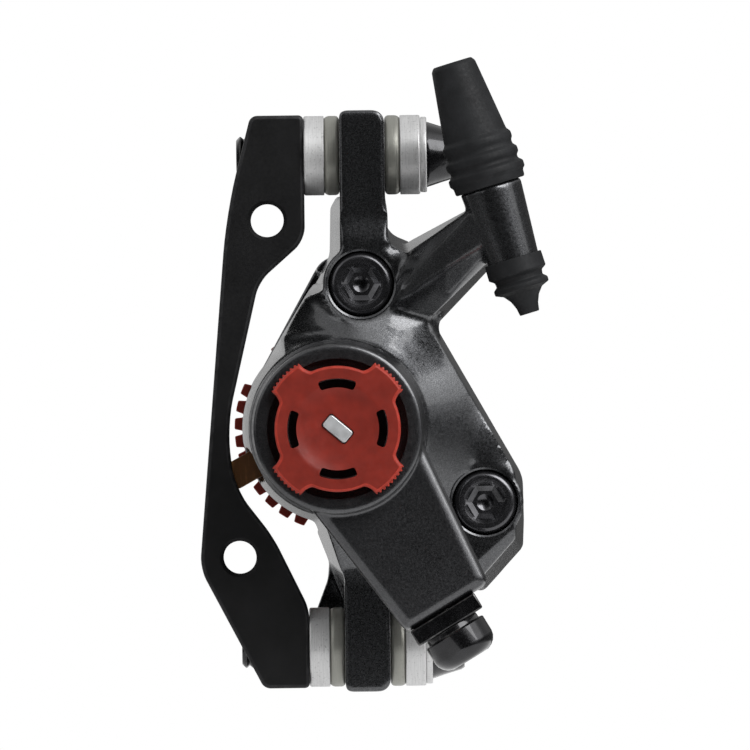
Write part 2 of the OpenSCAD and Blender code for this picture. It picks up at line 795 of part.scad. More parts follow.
module ramp_balls() {
    color("#d8dadc") for (a = ball_angles)
        face_frame(ball_y) rotate([0, 0, a]) translate([ball_circle_r, 0, 0]) sphere(d = ball_d);
}

module drive_cam() {
    color("#7d8083") difference() {
        at_pivot() {
            rod_y(ramp_r, cam_back_y, cam_face_y);
            rod_y(shaft_r, arm_back_y, cam_back_y + past);
            hex_y(drive_af, nut_seat_y, arm_back_y + past);
            rod_y(stub_r, cup_y, nut_seat_y + past);
        }
        at_pivot() rod_y(cam_bore_r, cup_y - past, cam_face_y + past);
        for (a = ball_angles) ball_groove(a - arm_swing / 4, ball_y + ramp_advance / 4);
    }
}

// Torsion spring behind the arm, with its fixed leg in the hub

spring_wire_d = 1.2;
spring_mean_r = 9.2;
spring_turns = 2.5;
spring_pitch = 1.65;
spring_start = 60;
spring_leg = 1.4;
spring_rings = 24;
spring_sides = 6;
spring_y = arm_back_y - 0.3;

function spring_point(i) =
    let (a = spring_start + 360 * i / spring_rings)
    [spring_mean_r * cos(a),
        spring_y - spring_wire_d / 2 - spring_pitch * i / spring_rings,
        spring_mean_r * sin(a)];

function spring_ring(i) =
    let (a = spring_start + 360 * i / spring_rings)
    [for (k = [0:spring_sides - 1]) let (b = 360 * k / spring_sides)
        spring_point(i) + spring_wire_d / 2 * [cos(b) * cos(a), sin(b), cos(b) * sin(a)]];

module return_spring() {
    last = spring_turns * spring_rings;
    points = [for (i = [0:last]) for (p = spring_ring(i)) p];
    sides = [for (i = [0:last - 1]) for (k = [0:spring_sides - 1]) let (
        a = i * spring_sides + k,
        b = i * spring_sides + (k + 1) % spring_sides,
        c = a + spring_sides,
        d = b + spring_sides)
        for (f = [[a, d, b], [a, c, d]]) f];
    first_cap = [for (k = [1:spring_sides - 2]) [0, k, k + 1]];
    last_cap = [for (k = [1:spring_sides - 2]) [0, k + 1, k] + last * spring_sides * [1, 1, 1]];
    color("#9fa2a5") at_pivot() {
        polyhedron(points, concat(sides, first_cap, last_cap));
        translate([spring_mean_r * cos(spring_start), 0, spring_mean_r * sin(spring_start)])
            rod_y(spring_wire_d / 2 - 0.1, spring_y - spring_wire_d / 2, hub_front_y + spring_leg);
    }
}

// Arm with its collar, cable clamp and nut

arm_root_w = 21.2;
flange_t = 2;
cup_r = collar_r - 0.5;
nut_r = 6;
spring_room = spring_wire_d / 2 + run_gap + 0.1;

module actuating_arm() {
    color("#2a2b2d") difference() {
        union() {
            arm_frame() along_y(arm_front_y, arm_back_y) polygon([
                [0, -arm_root_w / 2], [arm_len, -arm_end_w / 2],
                [arm_len, arm_end_w / 2], [0, arm_root_w / 2]]);
            at_pivot() {
                rod_y(flange_r, arm_back_y - flange_t, arm_back_y);
                cone_y(collar_r, flange_r - 0.6, collar_y, arm_back_y - flange_t + 0.5);
            }
        }
        at_pivot() {
            rod_y(cup_r, collar_y - past, cup_y);
            rod_y(nut_r + run_gap, cup_y - past, nut_seat_y);
            hex_y(drive_af + 2 * fit_gap, nut_seat_y - past, arm_back_y + past);
            ring_y(spring_mean_r + spring_room, spring_mean_r - spring_room,
                spring_y - spring_turns * spring_pitch - spring_wire_d - run_gap, arm_back_y + past);
        }
        arm_frame() translate([0, cable_y, -clamp_shift])
            rod_x(clamp_bolt_r + fit_gap, arm_len - clamp_thread, arm_len + past);
    }
}

clamp_bolt_r = 2.5;
clamp_thread = 9;
clamp_shift = 1.1;
clamp_dome_r = 8;
clamp_neck = 0.9;
clamp_neck_r = 4.3;

module arm_nut() {
    color("#8d9093") at_pivot() difference() {
        hex_y(2 * nut_r * cos(30), cup_y, nut_seat_y);
        rod_y(stub_r + fit_gap, cup_y - past, nut_seat_y + past);
    }
}

module cable_clamp_plate() {
    color("#1d1e1f") arm_frame() translate([0, cable_y, -clamp_shift]) difference() {
        translate([arm_len, -arm_t / 2 - 0.4, -clamp_plate_w / 2])
            cube([clamp_plate_t, arm_t + 0.8, clamp_plate_w]);
        rod_x(clamp_bolt_r + fit_gap, arm_len - past, arm_len + clamp_plate_t + past);
    }
}

module cable_bolt() {
    head = arm_len + clamp_plate_t;
    color("#141516") arm_frame() translate([0, cable_y, -clamp_shift]) difference() {
        union() {
            rod_x(clamp_bolt_r, arm_len - clamp_thread + 0.5, head + past);
            rod_x(clamp_neck_r, head, head + clamp_neck + fit_gap);
            translate([head, 0, 0]) rotate([0, 90, 0]) rotate_extrude() intersection() {
                translate([0, clamp_neck]) square([clamp_head_d / 2, clamp_head_h - clamp_neck]);
                translate([0, clamp_head_h - clamp_dome_r]) circle(r = clamp_dome_r);
            }
        }
        translate([head + clamp_head_h - 3, 0, 0]) rotate([0, 90, 0])
            cylinder(d = socket_af / cos(30), h = 3 + past, $fn = 6);
    }
}

// Outboard adjuster

detent_r = 8;
detent_w = 1.2;
detent_t = 0.8;
tip_turn = -40;
knob_lobes = [45, 135, 225, 315];
slot_turns = [0, 90, 180, 270];
lobe_half_w = 2.5;
lobe_foot = 3.7;
dish_r = 6.6;
dish_depth = 1.3;
slot_mid_r = 6.8;
slot_half_w = 0.7;
slot_half_arc = 23;

module tip_outline(gap) {
    rotate(tip_turn) intersection() {
        circle(d = tip_d + 2 * gap);
        square([tip_d + 2 * gap + past, tip_flat + 2 * gap], center = true);
    }
}

module detent_ring() {
    color("#a8aaac") at_pivot()
        ring_y(detent_r + detent_w / 2, detent_r - detent_w / 2, cup_y - detent_t, cup_y);
}

module knob_lobe(a) {
    intersection() {
        at_pivot() rotate([0, -a, 0]) along_y(knob_front_y, knob_lobe_y) polygon(rounded([
            [knob_r - 3, -lobe_foot, 0],
            [knob_r - 0.8, -lobe_foot, 0],
            [knob_r + 0.7, -lobe_half_w, 0.8],
            [knob_lobe_r + past, -lobe_half_w, 0],
            [knob_lobe_r + past, lobe_half_w, 0],
            [knob_r + 0.7, lobe_half_w, 0.8],
            [knob_r - 0.8, lobe_foot, 0],
            [knob_r - 3, lobe_foot, 0]]));
        at_pivot() rod_y(knob_lobe_r, knob_front_y - past, knob_lobe_y + past);
    }
}

module outboard_knob() {
    color("#a83a2c") difference() {
        union() {
            at_pivot() rod_y(knob_r, knob_front_y, knob_back_y);
            for (a = knob_lobes) knob_lobe(a);
        }
        at_pivot() {
            cone_y(dish_r, dish_r - 1.5, knob_front_y - 0.01, knob_front_y + dish_depth);
            along_y(knob_front_y - past, knob_back_y + past) tip_outline(0.12);
            rod_y(spindle_r + 0.4, knob_front_y + 3.4, knob_back_y + past);
            ring_y(detent_r + detent_w / 2 + run_gap, detent_r - detent_w / 2 - run_gap,
                cup_y - detent_t - run_gap, knob_back_y + past);
        }
        for (a = slot_turns) face_frame(knob_back_y + past) rotate([0, 0, a - slot_half_arc])
            rotate_extrude(angle = 2 * slot_half_arc)
                translate([slot_mid_r - slot_half_w, 0]) square([2 * slot_half_w, knob_t + 2 * past]);
    }
}

module adjuster_spindle() {
    color("#d0d4d6") at_pivot() {
        rod_y(screw_r, ramp_face_y - 0.4, out_foot_back_y - 0.1);
        rod_y(spindle_r, cup_y + 0.4, ramp_face_y);
        along_y(tip_y, cup_y + 1) tip_outline(0);
    }
}

// Pads and their feet

plate_outline = rounded([
    [pad_bottom, -pad_w / 2, pad_corner],
    [pad_top, -pad_w / 2, pad_corner],
    [pad_top, pad_w / 2, pad_corner],
    [pad_bottom, pad_w / 2, pad_corner]]);
lining_outline = rounded([
    [pad_bottom + lining_inset, -pad_w / 2 + lining_inset, pad_corner - lining_inset],
    [pad_top - lining_drop, -pad_w / 2 + lining_inset, pad_corner - 2],
    [pad_top - lining_drop, pad_w / 2 - lining_inset, pad_corner - 2],
    [pad_bottom + lining_inset, pad_w / 2 - lining_inset, pad_corner - lining_inset]]);
nub_r = 2.4;
nub_h = 1.2;

module pad_plate(y0) {
    difference() {
        pad_frame() union() {
            along_y(y0, y0 + plate_t) polygon(plate_outline);
            along_y(y0, y0 + plate_t) polygon(rounded([
                [-tab_reach, tab_shift - tab_w / 2, 0.8],
                [pad_bottom + 3, tab_shift - tab_w / 2, 0],
                [pad_bottom + 3, tab_shift + tab_w / 2, 0],
                [-tab_reach, tab_shift + tab_w / 2, 0.8]]));
        }
        at_pivot() rod_y(nub_r + fit_gap, y0 - past, y0 + plate_t + past);
    }
}

module outboard_pad_plate() {
    color("#5a3a1a") pad_plate(out_foot_y);
}

module outboard_lining() {
    color("#4a4038") pad_frame() along_y(out_plate_y, out_lining_y) polygon(lining_outline);
}

module outboard_foot() {
    color("#a0a3a6") at_pivot() {
        rod_y(foot_r, out_foot_back_y, out_foot_y);
        rod_y(nub_r, out_foot_y - past, out_foot_y + nub_h);
    }
}

module inboard_pad_plate() {
    color("#5a3a1a") pad_plate(in_plate_y);
}

module inboard_lining() {
    color("#4a4038") pad_frame() along_y(in_lining_y, in_plate_y) polygon(lining_outline);
}

module inboard_foot() {
    color("#a0a3a6") at_pivot() difference() {
        union() {
            rod_y(foot_r, in_foot_y, in_foot_back_y);
            ring_y(nub_r, nub_r - 1, in_foot_y - nub_h, in_foot_y + past);
        }
        rod_y(screw_r + thread_gap, in_foot_y + 0.4, in_foot_back_y + past);
    }
}

// Leaf spring that lies over the tops of both pads

module pad_spring() {
    color("#b8babc") pad_frame() translate([leaf_x, out_foot_y, -leaf_w / 2])
        cube([leaf_t, in_foot_y - out_foot_y, leaf_w]);
}

// Inboard adjuster

tooth_share = 0.68;
tooth_phase = 0.36;
wheel_pitch = 360 / wheel_teeth;
root_r = wheel_r - tooth_h;
tooth_group = 12;
tooth_run = 10;
tooth_first = 15;

// The teeth stand in groups with plain rim between them
function has_tooth(i) = (i - tooth_first + 3 * tooth_group) % tooth_group < tooth_run;

wheel_outline = [for (i = [0:wheel_teeth - 1]) let (top_r = has_tooth(i) ? wheel_r : root_r)
    for (c = [[root_r, 0], [top_r, 0.06], [top_r, tooth_share - 0.06], [root_r, tooth_share]])
        turned(c[0], (i + c[1] + tooth_phase) * wheel_pitch)];
wheel_dish_r = 12.4;
grip_w = 4;

module inboard_knob() {
    color("#8f2f25") at_pivot() difference() {
        along_y(wheel_y, wheel_back_y) polygon(wheel_outline);
        difference() {
            rod_y(wheel_dish_r, wheel_back_y - 2.2, wheel_back_y + past);
            translate([-wheel_dish_r - past, wheel_back_y - 3, -grip_w / 2])
                cube([2 * wheel_dish_r + 2 * past, 3, grip_w]);
            rod_y(screw_head_r + 2, wheel_back_y - 3, wheel_back_y);
        }
        rod_y(screw_r + fit_gap, wheel_y - past, wheel_back_y + past);
        rod_y(screw_head_r + fit_gap, wheel_back_y - screw_head_h, wheel_back_y + past);
    }
}

screw_head_r = 3.8;
screw_head_h = 1.8;
end_screw_r = 1.5;
clip_groove = 0.5;

module inboard_screw() {
    color("#a8aaac") at_pivot() difference() {
        rod_y(screw_r, in_foot_y + 0.6, wheel_back_y - screw_head_h);
        ring_y(screw_r + past, screw_r - clip_groove, clip_y - fit_gap, clip_y + clip_t + fit_gap);
        rod_y(end_screw_r + fit_gap, wheel_y, wheel_back_y);
    }
}

module knob_clip() {
    color("#6d7073") at_pivot() difference() {
        ring_y(screw_r + 2, screw_r - clip_groove + fit_gap, clip_y, clip_y + clip_t);
        translate([-1.2, clip_y - past, 0]) cube([2.4, clip_t + 2 * past, screw_r + 3]);
    }
}

module knob_screw() {
    color("#17181a") at_pivot() difference() {
        union() {
            rod_y(screw_head_r, wheel_back_y - screw_head_h, wheel_back_y);
            rod_y(end_screw_r, wheel_y + 0.5, wheel_back_y - screw_head_h + past);
        }
        hex_y(3, wheel_back_y - 1.4, wheel_back_y + past);
    }
}

adapter_bracket();
mount_bolts();
flat_washers();
concave_washers();
convex_washers();
outboard_body();
cable_stop();
inboard_body();
body_bolts();
housing_boot();
cable_grommet();
cam_bushing();
cam_seal();
thrust_washer();
ramp_keys();
return_spring();
pad_spring();
actuating_arm();
drive_cam();
arm_nut();
cable_bolt();
cable_clamp_plate();
detent_ring();
ball_cage();
ramp_balls();
pressure_ramp();
outboard_foot();
outboard_pad_plate();
outboard_lining();
adjuster_spindle();
outboard_knob();
inboard_knob();
inboard_screw();
knob_clip();
knob_screw();
inboard_foot();
inboard_pad_plate();
inboard_lining();
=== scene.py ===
"""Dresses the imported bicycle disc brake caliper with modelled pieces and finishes."""

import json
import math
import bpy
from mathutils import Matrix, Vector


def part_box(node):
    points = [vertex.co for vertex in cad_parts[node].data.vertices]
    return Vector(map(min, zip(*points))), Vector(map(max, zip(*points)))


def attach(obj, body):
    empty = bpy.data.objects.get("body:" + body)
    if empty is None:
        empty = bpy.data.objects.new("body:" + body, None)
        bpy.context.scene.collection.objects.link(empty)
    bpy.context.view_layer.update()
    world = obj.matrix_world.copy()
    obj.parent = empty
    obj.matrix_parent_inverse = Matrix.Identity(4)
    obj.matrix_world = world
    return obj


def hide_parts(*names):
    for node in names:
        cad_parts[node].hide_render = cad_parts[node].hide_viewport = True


bl_info = {
    "name": "Disc Brake Caliper",
    "version": (1, 0, 0),
    "blender": (4, 5, 0),
    "location": "View3D > Sidebar > Caliper",
    "description": "Models the visible pieces of a disc brake caliper around its packed frame",
    "category": "Object",
}

import bmesh
import bpy
from bpy.props import FloatProperty, FloatVectorProperty, IntProperty, PointerProperty
from mathutils import Matrix, Vector

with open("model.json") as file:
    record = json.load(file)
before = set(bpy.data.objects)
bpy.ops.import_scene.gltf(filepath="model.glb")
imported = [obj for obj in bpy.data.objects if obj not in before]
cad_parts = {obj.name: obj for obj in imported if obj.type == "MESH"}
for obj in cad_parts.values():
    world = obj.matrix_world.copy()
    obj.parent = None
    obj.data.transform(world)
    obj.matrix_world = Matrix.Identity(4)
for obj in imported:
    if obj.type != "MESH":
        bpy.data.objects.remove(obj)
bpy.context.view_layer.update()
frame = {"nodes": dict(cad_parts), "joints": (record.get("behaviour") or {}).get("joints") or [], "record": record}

# Pieces are drawn in millimetres and brought to metres when they are finished
MM = 0.001
FULL_TURN = 2 * math.pi
JOINTS = {joint["name"]: joint for joint in frame["joints"]}
MOUNTS = {mount["name"]: mount for mount in frame["record"]["mounts"]}
SLOT_COLOURS = {m["slot"]: tuple(m["base_color"]) for m in frame["record"]["materials"]}
PIVOT = Vector(JOINTS["arm_pivot"]["pos_m"]) / MM


def box(node):
    """A node's lowest and highest corners, in millimetres."""
    low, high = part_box(node)
    return low / MM, high / MM


# Places and frames that several pieces share
TO_X = Matrix.Rotation(math.radians(90), 4, "Y")
TO_LEFT = Matrix.Rotation(math.radians(-90), 4, "Y")
TO_Y = Matrix.Rotation(math.radians(-90), 4, "X")
ON_PIVOT = Matrix.Translation((PIVOT.x, 0, PIVOT.z))
AT_PIVOT = ON_PIVOT @ TO_Y
PIVOT_SPOT = Vector((PIVOT.x, PIVOT.z))
POST_Y = (box("adapter_bracket")[0].y + box("adapter_bracket")[1].y) / 2
FLAT_WASHER_R = (box("flat_washers")[1].y - box("flat_washers")[0].y) / 2
POST_HEIGHTS = (
    box("flat_washers")[1].z - FLAT_WASHER_R,
    box("flat_washers")[0].z + FLAT_WASHER_R,
)
WASHER_BORE = 3.3
CONVEX_T = 3.24
EAR_LEFT = box("convex_washers")[0].x + CONVEX_T
EAR_RIGHT = box("convex_washers")[1].x - CONVEX_T
EAR_ROOT_Z = 21.7
CABLE_AXIS = Vector(MOUNTS["housing_socket"]["axis"])
CABLE_LEAN = math.atan2(-CABLE_AXIS.x, CABLE_AXIS.z)
SOCKET_R = MOUNTS["housing_socket"]["dims"]["r_mm"]
SOCKET_MIDDLE = 11.125
CABLE_ORIGIN = Vector(MOUNTS["housing_socket"]["pos_m"]) / MM - CABLE_AXIS * SOCKET_MIDDLE
ON_CABLE = Matrix.Translation(CABLE_ORIGIN) @ Matrix.Rotation(-CABLE_LEAN, 4, "Y")
ARM_LEAN = math.radians(30.9)
ARM_LENGTH = 31.6
ON_ARM = ON_PIVOT @ Matrix.Rotation(math.radians(90) - ARM_LEAN, 4, "Y")
KNOB_CUP = 2.8
CLAMP_DROP = 1.1
CLAMP_BORE = 2.55
AT_CLAMP = Matrix.Translation((0, CABLE_ORIGIN.y, -CLAMP_DROP))
BODY_BOLTS = ((16.439, 15.627), (34.707, -17.465))
COUNTERBORE = 5.2
STAGE_MIDDLE = Vector((0.018, 0, 0))


def millimetres(name, description, default, smallest=0.0):
    """A length property, given in millimetres."""
    return FloatProperty(
        name=name,
        description=description,
        default=default * MM,
        min=smallest * MM,
        unit="LENGTH",
    )


def whole_number(name, description, default, fewest=0):
    """A whole number property."""
    return IntProperty(name=name, description=description, default=default, min=fewest)


class CaliperSizes(bpy.types.PropertyGroup):
    """Sizes of the details that the frame leaves open."""

    casting_grain: millimetres("Casting grain", "Cell size that the castings are blended at", 0.34, 0.2)
    casting_rounds: whole_number("Casting fillets", "Smoothing passes that round the castings' edges", 6)
    arm_grain: millimetres("Arm grain", "Cell size that the arm is blended at", 0.25, 0.2)
    arm_rounds: whole_number("Arm fillets", "Smoothing passes that round the arm's edges", 5)
    arm_chamfer: millimetres("Arm chamfer", "Width of the bevel along the arm's front edges", 1.4)
    adapter_round: millimetres("Adapter edge", "Radius of the adapter's rounded edges", 0.55)
    knurl_depth: millimetres("Knurl depth", "Depth of the grip teeth on the outboard knob's lobes", 0.32)
    knurl_teeth: whole_number("Knurl teeth", "Grip teeth in a full turn of the outboard knob", 96, 24)
    thread_pitch: millimetres("Post thread pitch", "Pitch of the thread at the post bolts' tips", 1.0)


def colour(name, description, slot):
    """A colour property that starts from the record's material slot."""
    return FloatVectorProperty(
        name=name,
        description=description,
        default=SLOT_COLOURS[slot],
        subtype="COLOR",
        min=0,
        max=1,
    )


class CaliperColours(bpy.types.PropertyGroup):
    """Base colours of the finishes, from the frame's material slots."""

    casting_paint: colour("Casting paint", "Charcoal flake paint of the castings", "casting_paint")
    arm_paint: colour("Arm paint", "Charcoal flake paint of the arm", "arm_paint")
    adapter_black: colour("Adapter black", "Anodised black of the adapter", "adapter_black")
    bolt_black: colour("Bolt black", "Black oxide of the bolts", "bolt_black")
    washer_silver: colour("Bright washer", "Tumbled steel of the concave washers", "washer_silver")
    washer_grey: colour("Grey washer", "Zinc of the convex washers", "washer_grey")
    steel: colour("Steel", "Ground steel of the drive", "steel")
    bronze: colour("Bronze", "Sintered bronze of the bushing", "bronze")
    rubber: colour("Rubber", "Moulded rubber of the boot and grommet", "rubber")
    knob_red: colour("Knob red", "Moulded plastic of the adjusters", "knob_red")
    cage_plastic: colour("Cage plastic", "Moulded plastic of the ball cage", "cage_plastic")
    pad_plate: colour("Pad plate", "Coated steel of the pad plates", "pad_plate")
    lining: colour("Lining", "Friction compound of the linings", "lining")


# Frames and small sums


def at_post(z, x=0, turn=TO_X):
    """The frame of a post bolt, with heights along X."""
    return Matrix.Translation((x, POST_Y, z)) @ turn


def through(x, z):
    """A frame at a spot of the front view, with heights along Y."""
    return Matrix.Translation((x, 0, z)) @ TO_Y


def held(value):
    """A value held between zero and one."""
    return min(1.0, max(0.0, value))


# Solids, each a bmesh of its own in millimetres


def bevelled(solid, geom, width, segments, affect="EDGES", clamp_overlap=False):
    """Bevel edges or corners by a width, and give back the new faces."""
    made = bmesh.ops.bevel(
        solid,
        geom=geom,
        offset=width,
        offset_type="OFFSET",
        affect=affect,
        segments=segments,
        profile=0.5,
        material=-1,
        clamp_overlap=clamp_overlap,
    )
    return made["faces"]


def turned(profile, place=Matrix(), steps=96):
    """A [radius, height] profile turned about its own axis."""
    solid = bmesh.new()
    verts = [solid.verts.new((radius, 0, height)) for radius, height in profile]
    edges = [solid.edges.new(pair) for pair in zip(verts, verts[1:])]
    if profile[0][0] > 0:
        edges.append(solid.edges.new((verts[-1], verts[0])))
    bmesh.ops.spin(
        solid,
        geom=verts + edges,
        cent=(0, 0, 0),
        axis=(0, 0, 1),
        angle=FULL_TURN,
        steps=steps,
        use_merge=True,
    )
    bmesh.ops.remove_doubles(solid, verts=solid.verts, dist=1e-4)
    bmesh.ops.recalc_face_normals(solid, faces=solid.faces)
    bmesh.ops.transform(solid, matrix=place, verts=solid.verts)
    return solid


def rod(radius, low, high, place=Matrix(), steps=96):
    """A plain round bar between two heights."""
    return turned([(0, low), (radius, low), (radius, high), (0, high)], place, steps)


def hex_rod(across, low, high, place=Matrix()):
    """A hexagonal bar between two heights."""
    return rod(across / 2 / math.cos(math.radians(30)), low, high, place, steps=6)


def prism_between(across, low, end_across, high, place=Matrix()):
    """A six-sided frustum about Z, from one width across its flats to another."""
    widths = (across / math.sqrt(3), end_across / math.sqrt(3))
    return turned([(0, low), (widths[0], low), (widths[1], high), (0, high)], place, 6)


def prism(outline, low, high, place=Matrix()):
    """An outline of (x, z, corner) points, seen from the outboard side, drawn out along Y."""
    solid = bmesh.new()
    verts = [solid.verts.new((x, low, z)) for x, z, _ in outline]
    solid.faces.new(verts)
    for size in sorted({corner for _, _, corner in outline if corner > 0}):
        corners = [vert for vert, point in zip(verts, outline) if point[2] == size]
        bevelled(solid, corners, size, 6, affect="VERTICES")
    drawn = bmesh.ops.extrude_face_region(solid, geom=list(solid.faces))
    moved = [item for item in drawn["geom"] if isinstance(item, bmesh.types.BMVert)]
    bmesh.ops.translate(solid, vec=(0, high - low, 0), verts=moved)
    bmesh.ops.recalc_face_normals(solid, faces=solid.faces)
    bmesh.ops.transform(solid, matrix=place, verts=solid.verts)
    return solid


def block(low, high, place=Matrix()):
    """A box between two corners."""
    solid = bmesh.new()
    bmesh.ops.create_cube(solid, size=1)
    low, high = Vector(low), Vector(high)
    bmesh.ops.scale(solid, vec=high - low, verts=solid.verts)
    bmesh.ops.translate(solid, vec=(low + high) / 2, verts=solid.verts)
    bmesh.ops.transform(solid, matrix=place, verts=solid.verts)
    return solid


def node_copy(*nodes):
    """Merged copies of CAD nodes' meshes, in millimetres."""
    solid = bmesh.new()
    for node in nodes:
        solid.from_mesh(frame["nodes"][node].data)
    bmesh.ops.scale(solid, vec=(1 / MM,) * 3, verts=solid.verts)
    bmesh.ops.remove_doubles(solid, verts=solid.verts, dist=1e-3)
    return solid


def joined(*solids):
    """Several solids in one bmesh, not yet blended."""
    whole = solids[0]
    for solid in solids[1:]:
        mesh = bpy.data.meshes.new("part")
        solid.to_mesh(mesh)
        solid.free()
        whole.from_mesh(mesh)
        bpy.data.meshes.remove(mesh)
    return whole


def round_edges(solid, width, segments=3, sharp=30):
    """Bevel the edges that turn more sharply than an angle, and mark the new faces as edge."""
    edge_layer = solid.faces.layers.float.get("edge") or solid.faces.layers.float.new("edge")
    corners = [e for e in solid.edges if e.is_manifold and e.calc_face_angle() > math.radians(sharp)]
    for face in bevelled(solid, corners, width, segments, clamp_overlap=True):
        face[edge_layer] = 1
    return solid


def stand_in(solid, name):
    """A scratch object that modifiers can work on."""
    mesh = bpy.data.meshes.new(name)
    solid.to_mesh(mesh)
    solid.free()
    scratch = bpy.data.objects.new(name, mesh)
    bpy.context.scene.collection.objects.link(scratch)
    return scratch


def settled(scratch, *others):
    """The bmesh that a scratch object's modifiers leave, with the scratch objects removed."""
    graph = bpy.context.evaluated_depsgraph_get()
    solid = bmesh.new()
    solid.from_object(scratch, graph)
    for used in (scratch, *others):
        mesh = used.data
        bpy.data.objects.remove(used)
        bpy.data.meshes.remove(mesh)
    if not solid.faces:
        raise RuntimeError("a solid came out empty")
    return solid


def carved(solid, *cutters, operation="DIFFERENCE"):
    """A solid with the cutters taken away from it, or added to it."""
    for part in (solid, *cutters):
        if not all(edge.is_manifold for edge in part.edges):
            raise RuntimeError("an open solid can't be carved")
    scratch = stand_in(solid, "carved")
    tools = [stand_in(cutter, "cutter") for cutter in cutters]
    for tool in tools:
        cut = scratch.modifiers.new("Cut", "BOOLEAN")
        cut.operation = operation
        cut.solver = "MANIFOLD"
        cut.object = tool
    return settled(scratch, *tools)


def cast(solid, grain, rounds):
    """Overlapping solids blended into one skin with rounded edges and fillets."""
    scratch = stand_in(solid, "cast")
    blend = scratch.modifiers.new("Blend", "REMESH")
    blend.mode = "VOXEL"
    blend.voxel_size = grain
    fillet = scratch.modifiers.new("Fillet", "SMOOTH")
    fillet.factor = 0.5
    fillet.iterations = rounds
    return settled(scratch)


def levelled(solid, weight, rounds):
    """A skin smoothed in depth only, where a weight says so, so that its outline stays."""
    solid.normal_update()
    layer = solid.verts.layers.deform.verify()
    for vert in solid.verts:
        vert[layer][0] = weight(vert)
    scratch = stand_in(solid, "levelled")
    scratch.vertex_groups.new(name="front")
    level = scratch.modifiers.new("Level", "SMOOTH")
    level.factor = 0.5
    level.iterations = rounds
    level.use_x = False
    level.use_z = False
    level.vertex_group = "front"
    solid = settled(scratch)
    solid.verts.layers.deform.remove(solid.verts.layers.deform.active)
    return solid


def piece(solid, name, body, slot, replaced, material=None, sharp=35, flat_faces=True):
    """A finished piece that rides on a body and stands for CAD nodes, in its slot's finish or another."""
    for face in solid.faces:
        face.smooth = True
    for edge in solid.edges:
        edge.smooth = edge.is_manifold and edge.calc_face_angle() < math.radians(sharp)
    bmesh.ops.scale(solid, vec=(MM,) * 3, verts=solid.verts)
    mesh = bpy.data.meshes.new(name)
    solid.to_mesh(mesh)
    solid.free()
    mesh.materials.clear()
    mesh.materials.append(material or finishes()[slot])
    thing = bpy.data.objects.new(name, mesh)
    bpy.context.scene.collection.objects.link(thing)
    if flat_faces:
        weighted = thing.modifiers.new("Flat faces", "WEIGHTED_NORMAL")
        weighted.keep_sharp = True
    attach(thing, body)
    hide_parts(*replaced)
    return thing


# Finishes


class Finish:
    """A node material in the making, on the piece's own object coordinates."""

    def __init__(self, name, base, rough, **constants):
        self.material = bpy.data.materials.new(name)
        self.material.use_nodes = True
        self.tree = self.material.node_tree
        self.shader = self.tree.nodes["Principled BSDF"]
        self.base = tuple(base[:3]) + (1,)
        self.shader.inputs["Base Color"].default_value = self.base
        self.shader.inputs["Roughness"].default_value = rough
        for socket, value in constants.items():
            self.shader.inputs[socket.replace("_", " ").title().replace("Ior", "IOR")].default_value = value
        self.place = self.node("ShaderNodeTexCoord").outputs["Object"]

    def node(self, kind, inputs=None, **settings):
        """Add a node, set it up and feed its inputs from values or sockets."""
        made = self.tree.nodes.new(kind)
        for setting, value in settings.items():
            setattr(made, setting, value)
        for key, value in (inputs or {}).items():
            if isinstance(value, bpy.types.NodeSocket):
                self.tree.links.new(value, made.inputs[key])
            else:
                made.inputs[key].default_value = value
        return made

    def stretched(self, scale):
        """Object coordinates with a scale of its own along each axis."""
        return self.node("ShaderNodeMapping", {"Vector": self.place, "Scale": scale}).outputs["Vector"]

    def noise(self, size, detail=3, where=None):
        """Cloudy noise with features of a size in millimetres."""
        made = self.node(
            "ShaderNodeTexNoise",
            {"Vector": where or self.place, "Scale": 1 / (size * MM), "Detail": detail},
        )
        return made.outputs["Fac"]

    def cells(self, size):
        """A random value for each cell of a size in millimetres."""
        made = self.node("ShaderNodeTexVoronoi", {"Vector": self.place, "Scale": 1 / (size * MM)})
        return self.node("ShaderNodeSeparateColor", {"Color": made.outputs["Color"]}).outputs["Red"]

    def ramp(self, value, low, high, to_low=0.0, to_high=1.0):
        """A value mapped from one span to another, held at its ends."""
        made = self.node(
            "ShaderNodeMapRange",
            {"Value": value, "From Min": low, "From Max": high, "To Min": to_low, "To Max": to_high},
        )
        return made.outputs["Result"]

    def times(self, first, second):
        """Two values multiplied."""
        return self.node("ShaderNodeMath", {0: first, 1: second}, operation="MULTIPLY").outputs[0]

    def mixed(self, amount, first, second):
        """Two colours mixed by an amount."""
        made = self.node("ShaderNodeMix", {0: amount, 6: first, 7: second}, data_type="RGBA")
        return made.outputs[2]

    def shade(self, factor):
        """The base colour made lighter or darker by a factor."""
        return tuple(min(1, channel * factor) for channel in self.base[:3]) + (1,)

    def edge(self):
        """One on the faces of rounded edges, and zero elsewhere."""
        return self.node("ShaderNodeAttribute", attribute_name="edge").outputs["Fac"]

    def feed(self, socket, value):
        """Lead a value into one of the shader's sockets."""
        self.tree.links.new(value, self.shader.inputs[socket])

    def bump(self, height, depth, strength=1.0):
        """Raise the surface by a height map, with its depth in millimetres."""
        made = self.node("ShaderNodeBump", {"Height": height, "Distance": depth * MM, "Strength": strength})
        self.feed("Normal", made.outputs["Normal"])


def flake_paint(name, base, rough, flake, coat_rough):
    """Charcoal paint with metal flake under a clear coat."""
    paint = Finish(name, base, rough, metallic=0.92, coat_weight=0.8, coat_roughness=coat_rough)
    tone = paint.mixed(paint.ramp(paint.noise(7, 4), 0.3, 0.7), paint.shade(0.8), paint.shade(1.3))
    sparks = paint.ramp(paint.cells(0.09), 0.2, 1.0, 0.04, flake)
    paint.feed("Base Color", paint.mixed(sparks, tone, (0.62, 0.63, 0.65, 1)))
    paint.feed("Roughness", paint.ramp(paint.noise(0.35), 0.3, 0.7, rough - 0.06, rough + 0.08))
    paint.bump(paint.noise(0.26, 3), 0.01, 0.35)
    return paint.material


